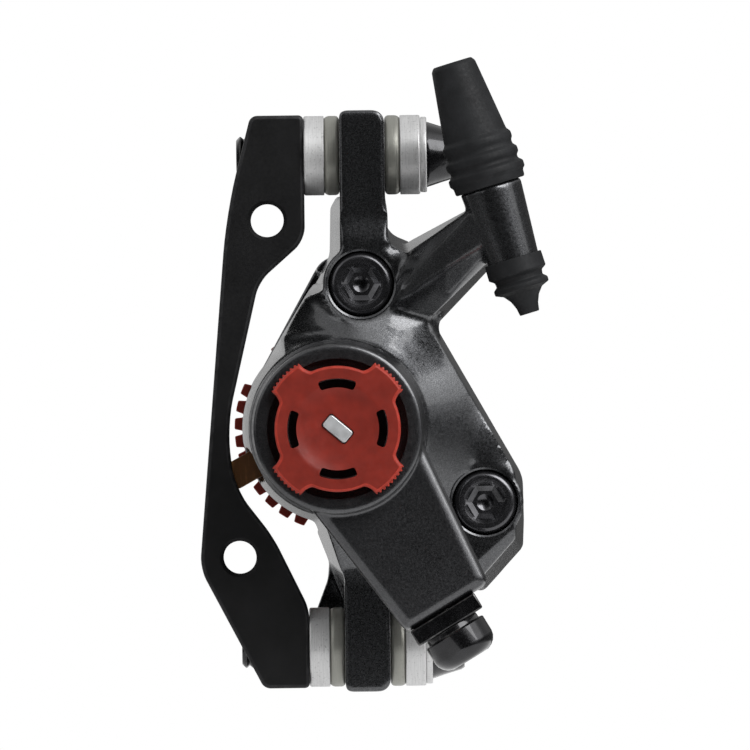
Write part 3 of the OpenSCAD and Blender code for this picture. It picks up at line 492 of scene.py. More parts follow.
def anodised(name, base):
    """Satin black anodised aluminium, with painted highlights along its edges."""
    skin = Finish(name, base, 0.42, specular_ior_level=0.25)
    cloud = skin.noise(6, 5)
    tone = skin.mixed(skin.ramp(cloud, 0.3, 0.7), skin.shade(0.38), skin.shade(0.65))
    # Painted highlight: the rounded edges are lightened in patches to stand for light catching them.
    painted_edge_highlight = skin.times(skin.edge(), skin.ramp(skin.noise(1.6, 4), 0.35, 0.75, 0.05, 0.5))
    skin.feed("Base Color", skin.mixed(painted_edge_highlight, tone, skin.shade(3.2)))
    skin.feed("Roughness", skin.ramp(skin.noise(0.5, 4), 0.3, 0.7, 0.36, 0.5))
    skin.bump(skin.noise(0.16, 2), 0.008, 0.3)
    return skin.material


def black_oxide(name, base, lift):
    """Glossy black oxide on turned steel, with faint tool marks, its colour made lighter by a factor."""
    skin = Finish(name, base, 0.2, metallic=0.85, coat_weight=0.6, coat_roughness=0.06)
    marks = skin.noise(0.3, 3)
    tone = skin.mixed(skin.ramp(skin.noise(2.5, 4), 0.35, 0.7), skin.shade(lift), skin.shade(1.8 * lift))
    worn = skin.times(skin.edge(), skin.ramp(skin.noise(0.9, 4), 0.45, 0.75, 0, 0.6))
    skin.feed("Base Color", skin.mixed(worn, tone, (0.16, 0.157, 0.15, 1)))
    skin.feed("Roughness", skin.ramp(marks, 0.3, 0.7, 0.15, 0.32))
    skin.bump(skin.noise(0.4, 2), 0.01, 0.25)
    return skin.material


def tumbled(name, base, rough, speckle):
    """Tumbled or plated steel with small dark pits and faint turning lines around X."""
    skin = Finish(name, base, rough, metallic=0.5, specular_ior_level=0.5)
    lines = skin.noise(1, 3, skin.stretched((9, 0.25, 0.25)))
    pits = skin.ramp(skin.noise(0.32, 4), 0.58, 0.72)
    tone = skin.mixed(skin.ramp(lines, 0.35, 0.65), skin.shade(1.1), skin.shade(1.3))
    skin.feed("Base Color", skin.mixed(skin.times(pits, speckle), tone, skin.shade(0.45)))
    skin.feed("Roughness", skin.ramp(lines, 0.3, 0.7, rough - 0.05, rough + 0.1))
    skin.bump(skin.noise(0.2, 3), 0.012, 0.4)
    return skin.material


def ground_steel(name, base):
    """Bare ground steel with fine lines across the depth."""
    skin = Finish(name, base, 0.34, metallic=0.4)
    lines = skin.noise(1, 4, skin.stretched((0.6, 9, 0.6)))
    tone = skin.mixed(skin.ramp(lines, 0.3, 0.7), skin.shade(0.85), skin.shade(1.1))
    skin.feed("Base Color", tone)
    skin.feed("Roughness", skin.ramp(lines, 0.3, 0.7, 0.26, 0.42))
    skin.bump(lines, 0.004, 0.4)
    return skin.material


def sintered(name, base):
    """Sintered bronze with open pores."""
    skin = Finish(name, base, 0.45, metallic=0.8)
    pores = skin.ramp(skin.noise(0.2, 4), 0.55, 0.7)
    skin.feed("Base Color", skin.mixed(pores, skin.shade(1.05), skin.shade(0.4)))
    skin.bump(skin.noise(0.2, 4), 0.02, 0.4)
    return skin.material


def moulded_rubber(name, base):
    """Matt moulded rubber with a fine grain and a little dust."""
    skin = Finish(name, base, 0.62, specular_ior_level=0.25)
    dust = skin.ramp(skin.noise(3.5, 5), 0.45, 0.8)
    skin.feed("Base Color", skin.mixed(dust, skin.shade(0.55), skin.shade(1.0)))
    skin.feed("Roughness", skin.ramp(skin.noise(0.5, 3), 0.3, 0.7, 0.52, 0.7))
    skin.bump(skin.noise(0.18, 3), 0.02, 0.35)
    return skin.material


def moulded_plastic(name, base, rough):
    """Moulded plastic with soft mottling and paler rounded edges, partly wear and partly painted highlight."""
    skin = Finish(name, base, rough, specular_ior_level=0.25)
    mottle = skin.ramp(skin.noise(2.2, 5), 0.3, 0.7)
    tone = skin.mixed(mottle, skin.shade(0.5), skin.shade(0.68))
    # The paler rounded edges stand partly for wear and partly for painted highlights where light catches them.
    pale = skin.times(skin.edge(), skin.ramp(skin.noise(0.8, 3), 0.3, 0.7, 0.25, 0.6))
    skin.feed("Base Color", skin.mixed(pale, tone, skin.shade(1.7)))
    skin.feed("Roughness", skin.ramp(skin.noise(0.6, 3), 0.3, 0.7, rough - 0.06, rough + 0.1))
    skin.bump(skin.noise(0.25, 3), 0.012, 0.35)
    return skin.material


def coated_plate(name, base):
    """Brown coated steel plate with scuffs, its colour lifted as painted light against the shade the tab sits in.
    """
    skin = Finish(name, base, 0.5, specular_ior_level=0.3)
    scuffs = skin.ramp(skin.noise(1, 4, skin.stretched((2.5, 0.4, 0.4))), 0.55, 0.75)
    # Painted light: the plate's colour is lifted 2.2 to 3.4 times to make up for the shadow it sits in.
    skin.feed("Base Color", skin.mixed(scuffs, skin.shade(2.2), skin.shade(3.4)))
    skin.feed("Roughness", skin.ramp(skin.noise(0.6, 3), 0.3, 0.7, 0.42, 0.6))
    skin.bump(skin.noise(0.3, 3), 0.015, 0.35)
    return skin.material


def friction_compound(name, base):
    """Pressed friction compound with chips of metal in it."""
    skin = Finish(name, base, 0.8)
    chips = skin.ramp(skin.cells(0.45), 0.72, 0.8)
    grain = skin.mixed(skin.ramp(skin.noise(0.7, 4), 0.3, 0.7), skin.shade(0.6), skin.shade(1.5))
    skin.feed("Base Color", skin.mixed(chips, grain, (0.24, 0.17, 0.1, 1)))
    skin.feed("Metallic", skin.times(chips, 0.6))
    skin.bump(skin.noise(0.35, 4), 0.05, 0.5)
    return skin.material


def finishes():
    """The finish of each material slot, made once."""
    colours = bpy.context.scene.caliper_colours
    makers = {
        "casting_paint": (flake_paint, {"rough": 0.27, "flake": 0.17, "coat_rough": 0.07}),
        "arm_paint": (flake_paint, {"rough": 0.34, "flake": 0.12, "coat_rough": 0.12}),
        "adapter_black": (anodised, {}),
        "bolt_black": (black_oxide, {"lift": 5.0}),
        "washer_silver": (tumbled, {"rough": 0.42, "speckle": 0.5}),
        "washer_grey": (tumbled, {"rough": 0.38, "speckle": 0.25}),
        "steel": (ground_steel, {}),
        "bronze": (sintered, {}),
        "rubber": (moulded_rubber, {}),
        "knob_red": (moulded_plastic, {"rough": 0.38}),
        "cage_plastic": (moulded_plastic, {"rough": 0.4}),
        "pad_plate": (coated_plate, {}),
        "lining": (friction_compound, {}),
    }
    made = {}
    for slot, (make, settings) in makers.items():
        name = slot + "_finish"
        made[slot] = bpy.data.materials.get(name) or make(name, getattr(colours, slot), **settings)
    return made


def shaded_bolt_black():
    """The bolts' black darkened as painted shade, for the post bolts and the cable clamp: a shaded copy of the
    body bolts' finish.
    """
    base = bpy.context.scene.caliper_colours.bolt_black
    # Painted shade: the same black oxide at a lower lift, so these bolts look as if in shadow.
    return bpy.data.materials.get("post_finish") or black_oxide("post_finish", base, lift=1.6)


def shaded_wheel_red():
    """The knob's plastic darkened as painted shade for the inboard wheel, which sits behind the arm."""
    # Painted shade: the knob's red at 0.72 of its strength stands for the shadow on the wheel.
    base = [channel * 0.72 for channel in bpy.context.scene.caliper_colours.knob_red]
    return bpy.data.materials.get("wheel_finish") or moulded_plastic("wheel_finish", base, rough=0.45)


# Pieces


class CALIPER_OT_stage(bpy.types.Operator):
    """Set up the floor, the soft studio light and the camera"""

    bl_idname = "caliper.stage"
    bl_label = "Stage"

    def execute(self, context):
        scene = context.scene
        scene.view_settings.view_transform = "Standard"
        self.light_world(scene)
        self.lay_floor(scene)
        self.hang_lamps(scene)
        self.set_camera(scene)
        return {"FINISHED"}

    def light_world(self, scene):
        """White behind the object, softer light all round, and mirrored light from a few soft cards."""
        all_round, white = 0.42, 1.0
        world = bpy.data.worlds.new("Studio")
        scene.world = world
        world.use_nodes = True
        nodes, links = world.node_tree.nodes, world.node_tree.links
        background = nodes["Background"]
        path = nodes.new("ShaderNodeLightPath")
        sky = nodes.new("ShaderNodeTexCoord")

        def card(toward, low, high, to_low, to_high):
            """A soft change in strength along one direction of the mirrored light."""
            along = nodes.new("ShaderNodeVectorMath")
            along.operation = "DOT_PRODUCT"
            along.inputs[1].default_value = toward
            links.new(sky.outputs["Generated"], along.inputs[0])
            change = nodes.new("ShaderNodeMapRange")
            change.interpolation_type = "SMOOTHSTEP"
            spans = {"From Min": low, "From Max": high, "To Min": to_low, "To Max": to_high}
            for key, value in spans.items():
                change.inputs[key].default_value = value
            links.new(along.outputs["Value"], change.inputs["Value"])
            return change.outputs["Result"]

        def combined(first, second, operation="ADD"):
            """Two strengths taken together."""
            made = nodes.new("ShaderNodeMath")
            made.operation = operation
            links.new(first, made.inputs[0])
            links.new(second, made.inputs[1])
            return made.outputs[0]

        above = card((0, 0, 1), 0.15, 0.6, 0.08, 0.55)
        low_right = card((0.6, 0, -0.8), 0.55, 0.9, 0, 0.9)
        left_back = card((-0.6, 0.8, 0), 0.75, 0.92, 0, 0.5)
        behind_camera = card((0, 1, 0), -0.93, -0.55, 0.03, 1.0)
        below = card((0, 0, -1), 0.6, 0.92, 0, 0.6)
        cards = combined(combined(above, below), combined(low_right, left_back))
        key = card((0.62, -0.44, 0.65), 0.76, 0.95, 0, 0.8)
        cards = combined(combined(cards, behind_camera, "MULTIPLY"), key)
        seen = combined(path.outputs["Is Camera Ray"], path.outputs["Is Transmission Ray"], "MAXIMUM")
        mirrored = nodes.new("ShaderNodeMix")
        mirrored.inputs["A"].default_value = all_round
        links.new(path.outputs["Is Glossy Ray"], mirrored.inputs["Factor"])
        links.new(cards, mirrored.inputs["B"])
        strength = nodes.new("ShaderNodeMix")
        strength.inputs["B"].default_value = white
        links.new(seen, strength.inputs["Factor"])
        links.new(mirrored.outputs["Result"], strength.inputs["A"])
        links.new(strength.outputs["Result"], background.inputs["Strength"])
        background.inputs["Color"].default_value = (1, 1, 1, 1)

    def lay_floor(self, scene):
        """A plain pale floor a little below the part, brighter to the right in mirrored light."""
        half_side, drop, glow_edge = 0.14, 0.064, 0.02
        pale, paler = (0.85, 0.85, 0.85, 1), (0.88, 0.88, 0.88, 1)
        solid = bmesh.new()
        bmesh.ops.create_grid(solid, x_segments=1, y_segments=1, size=half_side)
        bmesh.ops.translate(solid, vec=STAGE_MIDDLE - Vector((0, 0, drop)), verts=solid.verts)
        mesh = bpy.data.meshes.new("floor")
        solid.to_mesh(mesh)
        solid.free()
        floor = bpy.data.objects.new("floor", mesh)
        scene.collection.objects.link(floor)
        paper = Finish("floor_paper", (0.86, 0.86, 0.86), 0.9)
        paper.feed("Base Color", paper.mixed(paper.noise(4, 4), pale, paler))
        across = paper.node("ShaderNodeSeparateXYZ", {0: paper.place}).outputs["X"]
        path = paper.node("ShaderNodeLightPath").outputs["Is Glossy Ray"]
        glow = paper.node("ShaderNodeEmission", {"Strength": 1.0}).outputs[0]
        lit = paper.times(path, paper.ramp(across, -glow_edge, glow_edge))
        both = paper.node("ShaderNodeMixShader", {0: lit, 1: paper.shader.outputs[0], 2: glow})
        paper.tree.links.new(both.outputs[0], paper.tree.nodes["Material Output"].inputs["Surface"])
        mesh.materials.append(paper.material)

    def hang_lamps(self, scene):
        """A soft box above to the right, and weaker ones to the right and left."""
        for name, spot, size, power in (
            ("key", (0.29, -0.36, 0.3), 0.36, 2.0),
            ("right", (0.5, -0.2, 0.25), 0.3, 0.2),
            ("left", (-0.45, -0.3, 0.2), 0.4, 0.25),
        ):
            data = bpy.data.lights.new(name, "AREA")
            data.size = size
            data.energy = power
            lamp = bpy.data.objects.new(name, data)
            lamp.location = spot
            lamp.rotation_mode = "QUATERNION"
            lamp.rotation_quaternion = (STAGE_MIDDLE - Vector(spot)).to_track_quat("-Z", "Y")
            scene.collection.objects.link(lamp)

    def set_camera(self, scene):
        """Square on to the outboard side, from far away, with the photograph's slight roll."""
        distance, view_width = 3.0, 0.1131
        aim_x, aim_z, roll = 0.01835, 0.00189, math.radians(0.7)
        data = bpy.data.cameras.new("camera")
        data.sensor_width = 36
        data.lens = data.sensor_width * distance / view_width
        data.clip_start = 0.1
        data.clip_end = 10
        camera = bpy.data.objects.new("camera", data)
        camera.location = (aim_x, -distance, aim_z)
        camera.rotation_euler = (math.radians(90), roll, 0)
        scene.collection.objects.link(camera)
        scene.camera = camera


class CALIPER_OT_adapter(bpy.types.Operator):
    """Model the adapter bracket with its rounded edges and tapped holes"""

    bl_idname = "caliper.adapter"
    bl_label = "Adapter"

    def execute(self, context):
        sizes = context.scene.caliper_sizes
        low, high = box("adapter_bracket")
        holes = MOUNTS["frame_bolts"]["dims"]
        lean, post_bore = math.radians(5.3), 3.05
        hole = Vector((math.sin(lean), 0, math.cos(lean))) * holes["pcd_mm"] / 2
        outline = [
            (8, 41.2, 0.8), (0, 41.2, 1), (-3.8, 26.49, 6), (-8.4, -26.99, 2),
            (1.1, -45.2, 0.9), (8, -45.2, 0.8), (8, -33.39, 1.6), (2.65, -22.39, 2.2),
            (-3.1, -14.89, 3.4), (-4.1, -5.5, 4), (0.95, 16.19, 2), (8, 22.39, 2),
        ]
        bracket = round_edges(prism(outline, low.y, high.y), sizes.adapter_round / MM, 3, sharp=50)
        cutters = [self.tapped_hole(side * hole, holes["hole_r_mm"], high.y) for side in (-1, 1)]
        cutters += [rod(post_bore, low.x - 2, high.x + 2, at_post(z)) for z in POST_HEIGHTS]
        piece(carved(bracket, *cutters), "adapter", "caliper", "adapter_black", ["adapter_bracket"])
        return {"FINISHED"}

    def tapped_hole(self, spot, radius, depth):
        """A frame bolt hole with a lead-in at both ends and a thread's ridges inside."""
        lead, pitch, thread = 0.5, 0.8, 0.3
        turns = int((depth - 2 * lead) / pitch)
        profile = [(0, -1), (radius + lead + 1, -1), (radius, lead)]
        for turn in range(turns):
            start = lead + (turn + 0.3) * pitch
            crest = (radius + thread, start + 0.3 * pitch)
            profile += [(radius, start), crest, (radius, start + 0.6 * pitch)]
        profile += [(radius, depth - lead), (radius + lead + 1, depth + 1), (0, depth + 1)]
        return turned(profile, through(spot.x, spot.z))


class CALIPER_OT_post_bolts(bpy.types.Operator):
    """Model the two post bolts and their flat washers"""

    bl_idname = "caliper.post_bolts"
    bl_label = "Post bolts"

    def execute(self, context):
        pitch = context.scene.caliper_sizes.thread_pitch / MM
        low, high = box("mount_bolts")
        head_x = box("flat_washers")[1].x
        bolts = [self.bolt(low.x, head_x, high.x, pitch, z) for z in POST_HEIGHTS]
        piece(joined(*bolts), "post_bolts", "caliper", "bolt_black", ["mount_bolts"], shaded_bolt_black())
        flat_x = box("flat_washers")[0].x
        profile = [
            (WASHER_BORE, flat_x), (FLAT_WASHER_R, flat_x), (FLAT_WASHER_R, head_x), (WASHER_BORE, head_x),
        ]
        washers = [round_edges(turned(profile, at_post(z)), 0.22, 3) for z in POST_HEIGHTS]
        piece(joined(*washers), "flat_washer_pair", "caliper", "washer_silver", ["flat_washers"])
        return {"FINISHED"}

    def bolt(self, tip_x, head_x, end_x, pitch, z):
        """One bolt along X, with its thread at the tip and a hex socket in its tapered head."""
        place = at_post(z)
        core, crest, turns = 2.6, 3.0, 5
        socket_across, socket_deep = 5, 3.4
        profile = [(0, tip_x), (core - 0.2, tip_x)]
        for turn in range(turns):
            start = tip_x + 0.15 + turn * pitch
            profile += [(core, start), (crest, start + 0.4 * pitch), (crest, start + 0.55 * pitch)]
        profile += [
            (crest, head_x), (4.95, head_x), (4.8, head_x + 0.45), (4.2, head_x + 2.3),
            (3.6, end_x - 0.5), (3.25, end_x), (0, end_x),
        ]
        shank = round_edges(turned(profile, place, 72), 0.08, 2, sharp=42)
        socket = hex_rod(socket_across, end_x - socket_deep, end_x + 1, place)
        lead = turned([(0, end_x - 0.3), (2.6, end_x - 0.3), (3.4, end_x + 0.5), (0, end_x + 0.5)], place)
        return carved(shank, socket, lead)


class CALIPER_OT_washers(bpy.types.Operator):
    """Model the concave and convex alignment washers on both sides of the ears"""

    bl_idname = "caliper.washers"
    bl_label = "Alignment washers"

    def execute(self, context):
        low, high = box("concave_washers")
        bore, rim = WASHER_BORE, (high.y - low.y) / 2
        concave = [(bore, 0), (rim, 0), (rim, 3.15), (5.1, 2.68), (4.2, 2.3), (bore, 2.0)]
        convex = [(bore, 0), (rim, 0), (rim, 2.1), (5.1, 2.57), (4.2, 2.95), (bore, CONVEX_T)]
        for kind, slot, profile, edge, starts in (
            ("concave", "washer_silver", concave, 0.28, ((low.x, TO_X), (high.x, TO_LEFT))),
            ("convex", "washer_grey", convex, 0.6, ((EAR_LEFT, TO_LEFT), (EAR_RIGHT, TO_X))),
        ):
            rings = [
                round_edges(turned(profile, at_post(z, x, turn)), edge, 4, sharp=40)
                for x, turn in starts
                for z in POST_HEIGHTS
            ]
            piece(joined(*rings), kind + "_washer_set", "caliper", slot, [kind + "_washers"])
        return {"FINISHED"}


class CALIPER_OT_castings(bpy.types.Operator):
    """Model the outboard casting with its cable stop, and the inboard casting"""

    bl_idname = "caliper.castings"
    bl_label = "Castings"

    def execute(self, context):
        sizes = context.scene.caliper_sizes
        self.outboard(sizes)
        self.inboard(sizes)
        return {"FINISHED"}

    def outboard(self, sizes):
        """Ears, hub, shoulder and cable stop in one skin, with the machined seats cut crisp."""
        nodes = ["outboard_body", "cable_stop"]
        boss_y = box("body_bolts")[0].y
        seat_y = boss_y + COUNTERBORE
        plug_r, plug_y, plug_z, level_passes = 5.4, 5.2, 3.5, 300
        plugs = [rod(plug_r, boss_y, seat_y + 0.5, through(*spot)) for spot in BODY_BOLTS]
        for z in POST_HEIGHTS:
            low = (EAR_LEFT, POST_Y - plug_y, z - plug_z)
            high = (EAR_RIGHT, POST_Y + plug_y, z + plug_z)
            plugs.append(block(low, high))
        plugs.append(self.strut_fillet(boss_y))
        blank = joined(node_copy(*nodes), *plugs)
        skin = cast(blank, sizes.casting_grain / MM, sizes.casting_rounds)
        self.roll_flank(skin, boss_y)
        skin = levelled(skin, self.front_weight, level_passes)
        self.level_ears(skin, boss_y)
        cutters = self.bolt_bores(boss_y, seat_y) + [self.ear_slot(z) for z in POST_HEIGHTS]
        skin = carved(skin, *cutters)
        piece(skin, "outboard_casting", "caliper", "casting_paint", nodes, sharp=50, flat_faces=False)

    def strut_fillet(self, boss_y):
        """A plug that rounds the corner below the cable stop's strut."""
        root, up, down = Vector((27.4, 9.5)), Vector((0.766, 0.643)), Vector((0.469, -0.883))
        reach, steps, front, back = 2.2, 8, boss_y + 1.5, 7
        arc = [root - up - down]
        for step in range(steps + 1):
            along = step / steps
            arc.append(root + up * reach * (1 - along) ** 2 + down * reach * along ** 2)
        return prism([(spot.x, spot.y, 0) for spot in arc], front, back)

    def bolt_bores(self, boss_y, seat_y):
        """Cutters for the body bolts' holes and counterbores."""
        hole_r, bore_r, deep_y = 2.7, 4.98, 14
        profile = [
            (0, boss_y - 7), (5.6, boss_y - 7), (5.25, boss_y + 0.35), (bore_r, boss_y + 0.5),
            (bore_r, seat_y), (0, seat_y),
        ]
        cutters = []
        for spot in BODY_BOLTS:
            cutters.append(rod(hole_r, boss_y, deep_y, through(*spot)))
            cutters.append(turned(profile, through(*spot)))
        return cutters

    def ear_slot(self, z):
        """A cutter for the long slot in an ear that a post bolt can slide in."""
        travel, past, wide = 1.5, 2, WASHER_BORE
        long = travel + wide
        outline = [(-long, -wide, 0), (long, -wide, 0), (long, wide, 0), (-long, wide, 0)]
        slot = prism(outline, EAR_LEFT - past, EAR_RIGHT + past, Matrix.Rotation(math.radians(-90), 4, "Z"))
        bmesh.ops.translate(slot, vec=(0, POST_Y, z), verts=slot.verts)
        corners = [e for e in slot.edges if abs(e.verts[0].co.x - e.verts[1].co.x) > 1]
        bevelled(slot, corners, wide - 0.05, 12)
        return slot

    def front_weight(self, vert):
        """One where the front of the outboard casting is blended over, and zero on crisp features."""
        hub_r, boss_r, back_y = 13.8, 6.1, 4
        stop_x, stop_z, fin_x, fin_z, wall_x, wall_z = 29, 14, 25, -17, 27, 8
        spot = Vector((vert.co.x, vert.co.z))
        on_hub = (spot - PIVOT_SPOT).length < hub_r
        on_boss = min((spot - Vector(bolt)).length for bolt in BODY_BOLTS) < boss_r
        on_stop = spot.x > stop_x and spot.y > stop_z
        on_fin = spot.x > fin_x and spot.y < fin_z
        on_ear = abs(spot.y) > EAR_ROOT_Z
        if vert.co.y > back_y or on_hub or on_boss or on_stop or on_fin or on_ear:
            return 0.0
        beside_right_wall = spot.x > wall_x and spot.y < wall_z
        low, high = (0.7, 0.9) if beside_right_wall else (0.25, 0.6)
        return held((-vert.normal.y - low) / (high - low))

    def level_ears(self, skin, boss_y):
        """Let the front fall to the fronts of the ears, so that it meets them without a step."""
        ear_set, upper_step, lower_step = 0.5, 26.2, 30.2
        left, right, fade = EAR_LEFT - 2, EAR_RIGHT + 5, 4
        for vert in skin.verts:
            step_z = upper_step if vert.co.z > 0 else lower_step
            rise = boss_y + ear_set - vert.co.y
            if rise <= 0 or vert.co.x < left or vert.co.x > right:
                continue
            along = held((abs(vert.co.z) - EAR_ROOT_Z) / (step_z - EAR_ROOT_Z))
            beside = held((right - vert.co.x) / fade)
            vert.co.y += rise * along * along * (3 - 2 * along) * beside

    def roll_flank(self, skin, boss_y):
        """Roll the front over to the left outline between the hub and the upper boss."""
        corner, inward = Vector((12.76, 17.95)), Vector((0.855, -0.519))
        reach, wide, deep, curl = 5.6, 2.0, 14.0, 0.11
        lip, front_deep, foot_z, foot_fade = 0.3, 3, -2, 6
        hub_r, hub_fade, boss_r, boss_fade = 13.2, 1.2, 5.9, 1.5
        for vert in skin.verts:
            spot = Vector((vert.co.x, vert.co.z))
            inside = (spot - corner).dot(inward)
            depth = vert.co.y - boss_y
            behind_front = inside > lip and depth > front_deep
            between = foot_z < spot.y < BODY_BOLTS[0][1] and spot.x < PIVOT.x + 2
            if inside > reach or inside < -wide or behind_front or not between:
                continue
            from_hub = held(((spot - PIVOT_SPOT).length - hub_r) / hub_fade)
            from_boss = held(((spot - Vector(BODY_BOLTS[0])).length - boss_r) / boss_fade)
            blend = from_hub * from_boss * held((spot.y - foot_z) / foot_fade)
            outer = max(-wide, reach - (reach - inside) * (reach + wide) / reach)
            shift = inward * (outer - inside) * blend
            vert.co.x += shift.x
            vert.co.z += shift.y
            vert.co.y += curl * (reach - outer) ** 2 * blend * max(0.0, 1 - depth / deep)

    def inboard(self, sizes):
        """The inboard casting, blended from its CAD form."""
        skin = cast(node_copy("inboard_body"), sizes.casting_grain / MM, sizes.casting_rounds)
        nodes = ["inboard_body"]
        piece(skin, "inboard_casting", "caliper", "casting_paint", nodes, sharp=60, flat_faces=False)


class CALIPER_OT_body_bolts(bpy.types.Operator):
    """Model the two body bolts in their counterbores"""

    bl_idname = "caliper.body_bolts"
    bl_label = "Body bolts"

    def execute(self, context):
        low, high = box("body_bolts")
        head_y, seat_y = low.y, low.y + COUNTERBORE
        bolts = []
        for x, z in BODY_BOLTS:
            place = through(x, z)
            profile = [
                (0, head_y + 0.12), (3.35, head_y + 0.12), (3.7, head_y), (4.1, head_y + 0.05),
                (4.45, head_y + 0.28), (4.7, head_y + 0.7), (4.8, head_y + 1.2), (4.8, seat_y),
                (2.5, seat_y), (2.5, high.y - 0.4), (2.1, high.y), (0, high.y),
            ]
            head = round_edges(turned(profile, place), 0.12, 2, sharp=50)
            lead = turned(
                [(0, head_y - 1), (4.4, head_y - 1), (2.75, head_y + 0.62), (0, head_y + 0.62)], place
            )
            faces = prism_between(5.5, head_y + 0.4, 3.4, head_y + 1.2, place)
            floor = turned(
                [(0, head_y + 1), (1.25, head_y + 1), (1.25, head_y + 2.8), (0, head_y + 3.4)], place
            )
            bolts.append(carved(head, lead, faces, floor))
        piece(joined(*bolts), "body_bolt_pair", "caliper", "bolt_black", ["body_bolts"])
        return {"FINISHED"}


class CALIPER_OT_rubber(bpy.types.Operator):
    """Model the ribbed housing boot and the grommet below the stop"""

    bl_idname = "caliper.rubber"
    bl_label = "Boot and grommet"

    def execute(self, context):
        base, top = 5.85, 25.25
        boot = [
            (4.05, base), (5.3, base), (5.4, base + 0.3), (5.45, base + 1.1), (5.85, base + 1.5),
            (5.85, base + 2.4), (5.25, base + 2.9), (5.2, base + 3.4), (5.6, base + 3.9),
            (5.58, base + 4.7), (5.08, base + 5.2), (5.05, base + 5.8), (5.35, base + 6.3),
            (5.32, base + 7.1), (4.85, base + 7.7), (4.1, base + 13.5), (3.4, top - 0.6), (2.95, top),
            (SOCKET_R, top), (SOCKET_R, base + 5.2), (4.05, base + 5.2),
        ]
        skin = round_edges(turned(boot, ON_CABLE), 0.22, 3, sharp=18)
        piece(skin, "boot", "caliper", "rubber", ["housing_boot"], sharp=60)
        low, cup = -6.4, -5.5
        grommet = [
            (1.2, low - 0.05), (4.05, low - 0.05), (4.05, cup), (4.4, cup), (4.45, cup - 2.3),
            (3.7, cup - 2.8), (3.6, cup - 3.5), (4.2, cup - 4), (4.2, cup - 4.7), (3, cup - 5.2),
            (2.2, cup - 6.2), (1.7, cup - 7.4), (1.5, cup - 8.6), (1.2, cup - 8.6),
        ]
        skin = round_edges(turned(grommet, ON_CABLE), 0.16, 3, sharp=18)
        piece(skin, "grommet", "caliper", "rubber", ["cable_grommet"], sharp=60)
        return {"FINISHED"}


class CALIPER_OT_arm(bpy.types.Operator):
    """Model the actuating arm with its collar, flange and knob cup"""

    bl_idname = "caliper.arm"
    bl_label = "Actuating arm"

    def execute(self, context):
        sizes = context.scene.caliper_sizes
        low, high = box("actuating_arm")
        collar_y, back_y = low.y, high.y
        front_y, cup_y, seat_y = collar_y + 3, collar_y + KNOB_CUP, collar_y + 4.8
        length, root, end, corner = ARM_LENGTH, 10.6, 7.2, 1.3
        outline = [(0, -root, 0), (length, -end, corner), (length, end, corner), (0, root, 0)]
        slab = prism(outline, front_y, back_y, ON_ARM)
        front_edges = [e for e in slab.edges if all(v.co.y < front_y + 0.01 for v in e.verts)]
        bevelled(slab, front_edges, sizes.arm_chamfer / MM, 2)
        collar = turned(
            [(0, collar_y), (12.2, collar_y), (12.5, collar_y + 0.1), (12.7, collar_y + 0.35),
             (12.75, collar_y + 0.8), (12.85, back_y - 2.4), (13.3, back_y - 1.9),
             (13.3, back_y), (0, back_y)],
            AT_PIVOT,
        )
        skin = cast(joined(slab, collar), sizes.arm_grain / MM, sizes.arm_rounds)
        cutters = [
            turned(
                [(0, collar_y - 2), (10.9, collar_y - 2), (10.5, collar_y + 0.3), (10.5, cup_y), (0, cup_y)],
                AT_PIVOT,
            ),
            rod(6.3, cup_y - 1, seat_y, AT_PIVOT),
            hex_rod(9.7, seat_y - 1, back_y + 1, AT_PIVOT),
            turned([(8.2, -17.4), (10.2, -17.4), (10.2, back_y + 1), (8.2, back_y + 1)], AT_PIVOT),
            rod(CLAMP_BORE, length - 9, length + 1, ON_ARM @ AT_CLAMP @ TO_X),
        ]
        skin = carved(skin, *cutters)
        piece(skin, "arm", "arm", "arm_paint", ["actuating_arm"], sharp=50, flat_faces=False)
        return {"FINISHED"}


class CALIPER_OT_cable_clamp(bpy.types.Operator):
    """Model the clamp plate and its bolt at the arm's end"""

    bl_idname = "caliper.cable_clamp"
    bl_label = "Cable clamp"

    def execute(self, context):
        length, thick = ARM_LENGTH, 2.6
        half, deep = 5.6, 4.35
        place = ON_ARM @ AT_CLAMP
        plate = block((length, -deep, -half), (length + thick, deep, half), place)
        plate = round_edges(plate, 0.3, 3)
        plate = carved(plate, rod(CLAMP_BORE, length - 1, length + thick + 1, place @ TO_X))
        piece(plate, "clamp_plate", "arm", "bolt_black", ["cable_clamp_plate"], shaded_bolt_black())
        head, neck, tall, radius = length + thick, 0.9, 5.7, 4.95
        dome = [
            (0, length - 8.5), (2.1, length - 8.5), (2.5, length - 8.1), (2.5, head), (4.3, head),
            (4.3, head + neck), (radius - 0.15, head + neck), (radius, head + neck + 0.2),
            (radius, head + 3.6), (4.8, head + 4.25), (4.4, head + 4.9), (3.8, head + 5.4),
            (3.1, head + tall), (0, head + tall),
        ]
        bolt = round_edges(turned(dome, place @ TO_X), 0.2, 2, sharp=50)
        bolt = carved(bolt, hex_rod(5, head + tall - 3, head + tall + 1, place @ TO_X))
        piece(bolt, "clamp_bolt", "arm", "bolt_black", ["cable_bolt"], shaded_bolt_black())
        return {"FINISHED"}


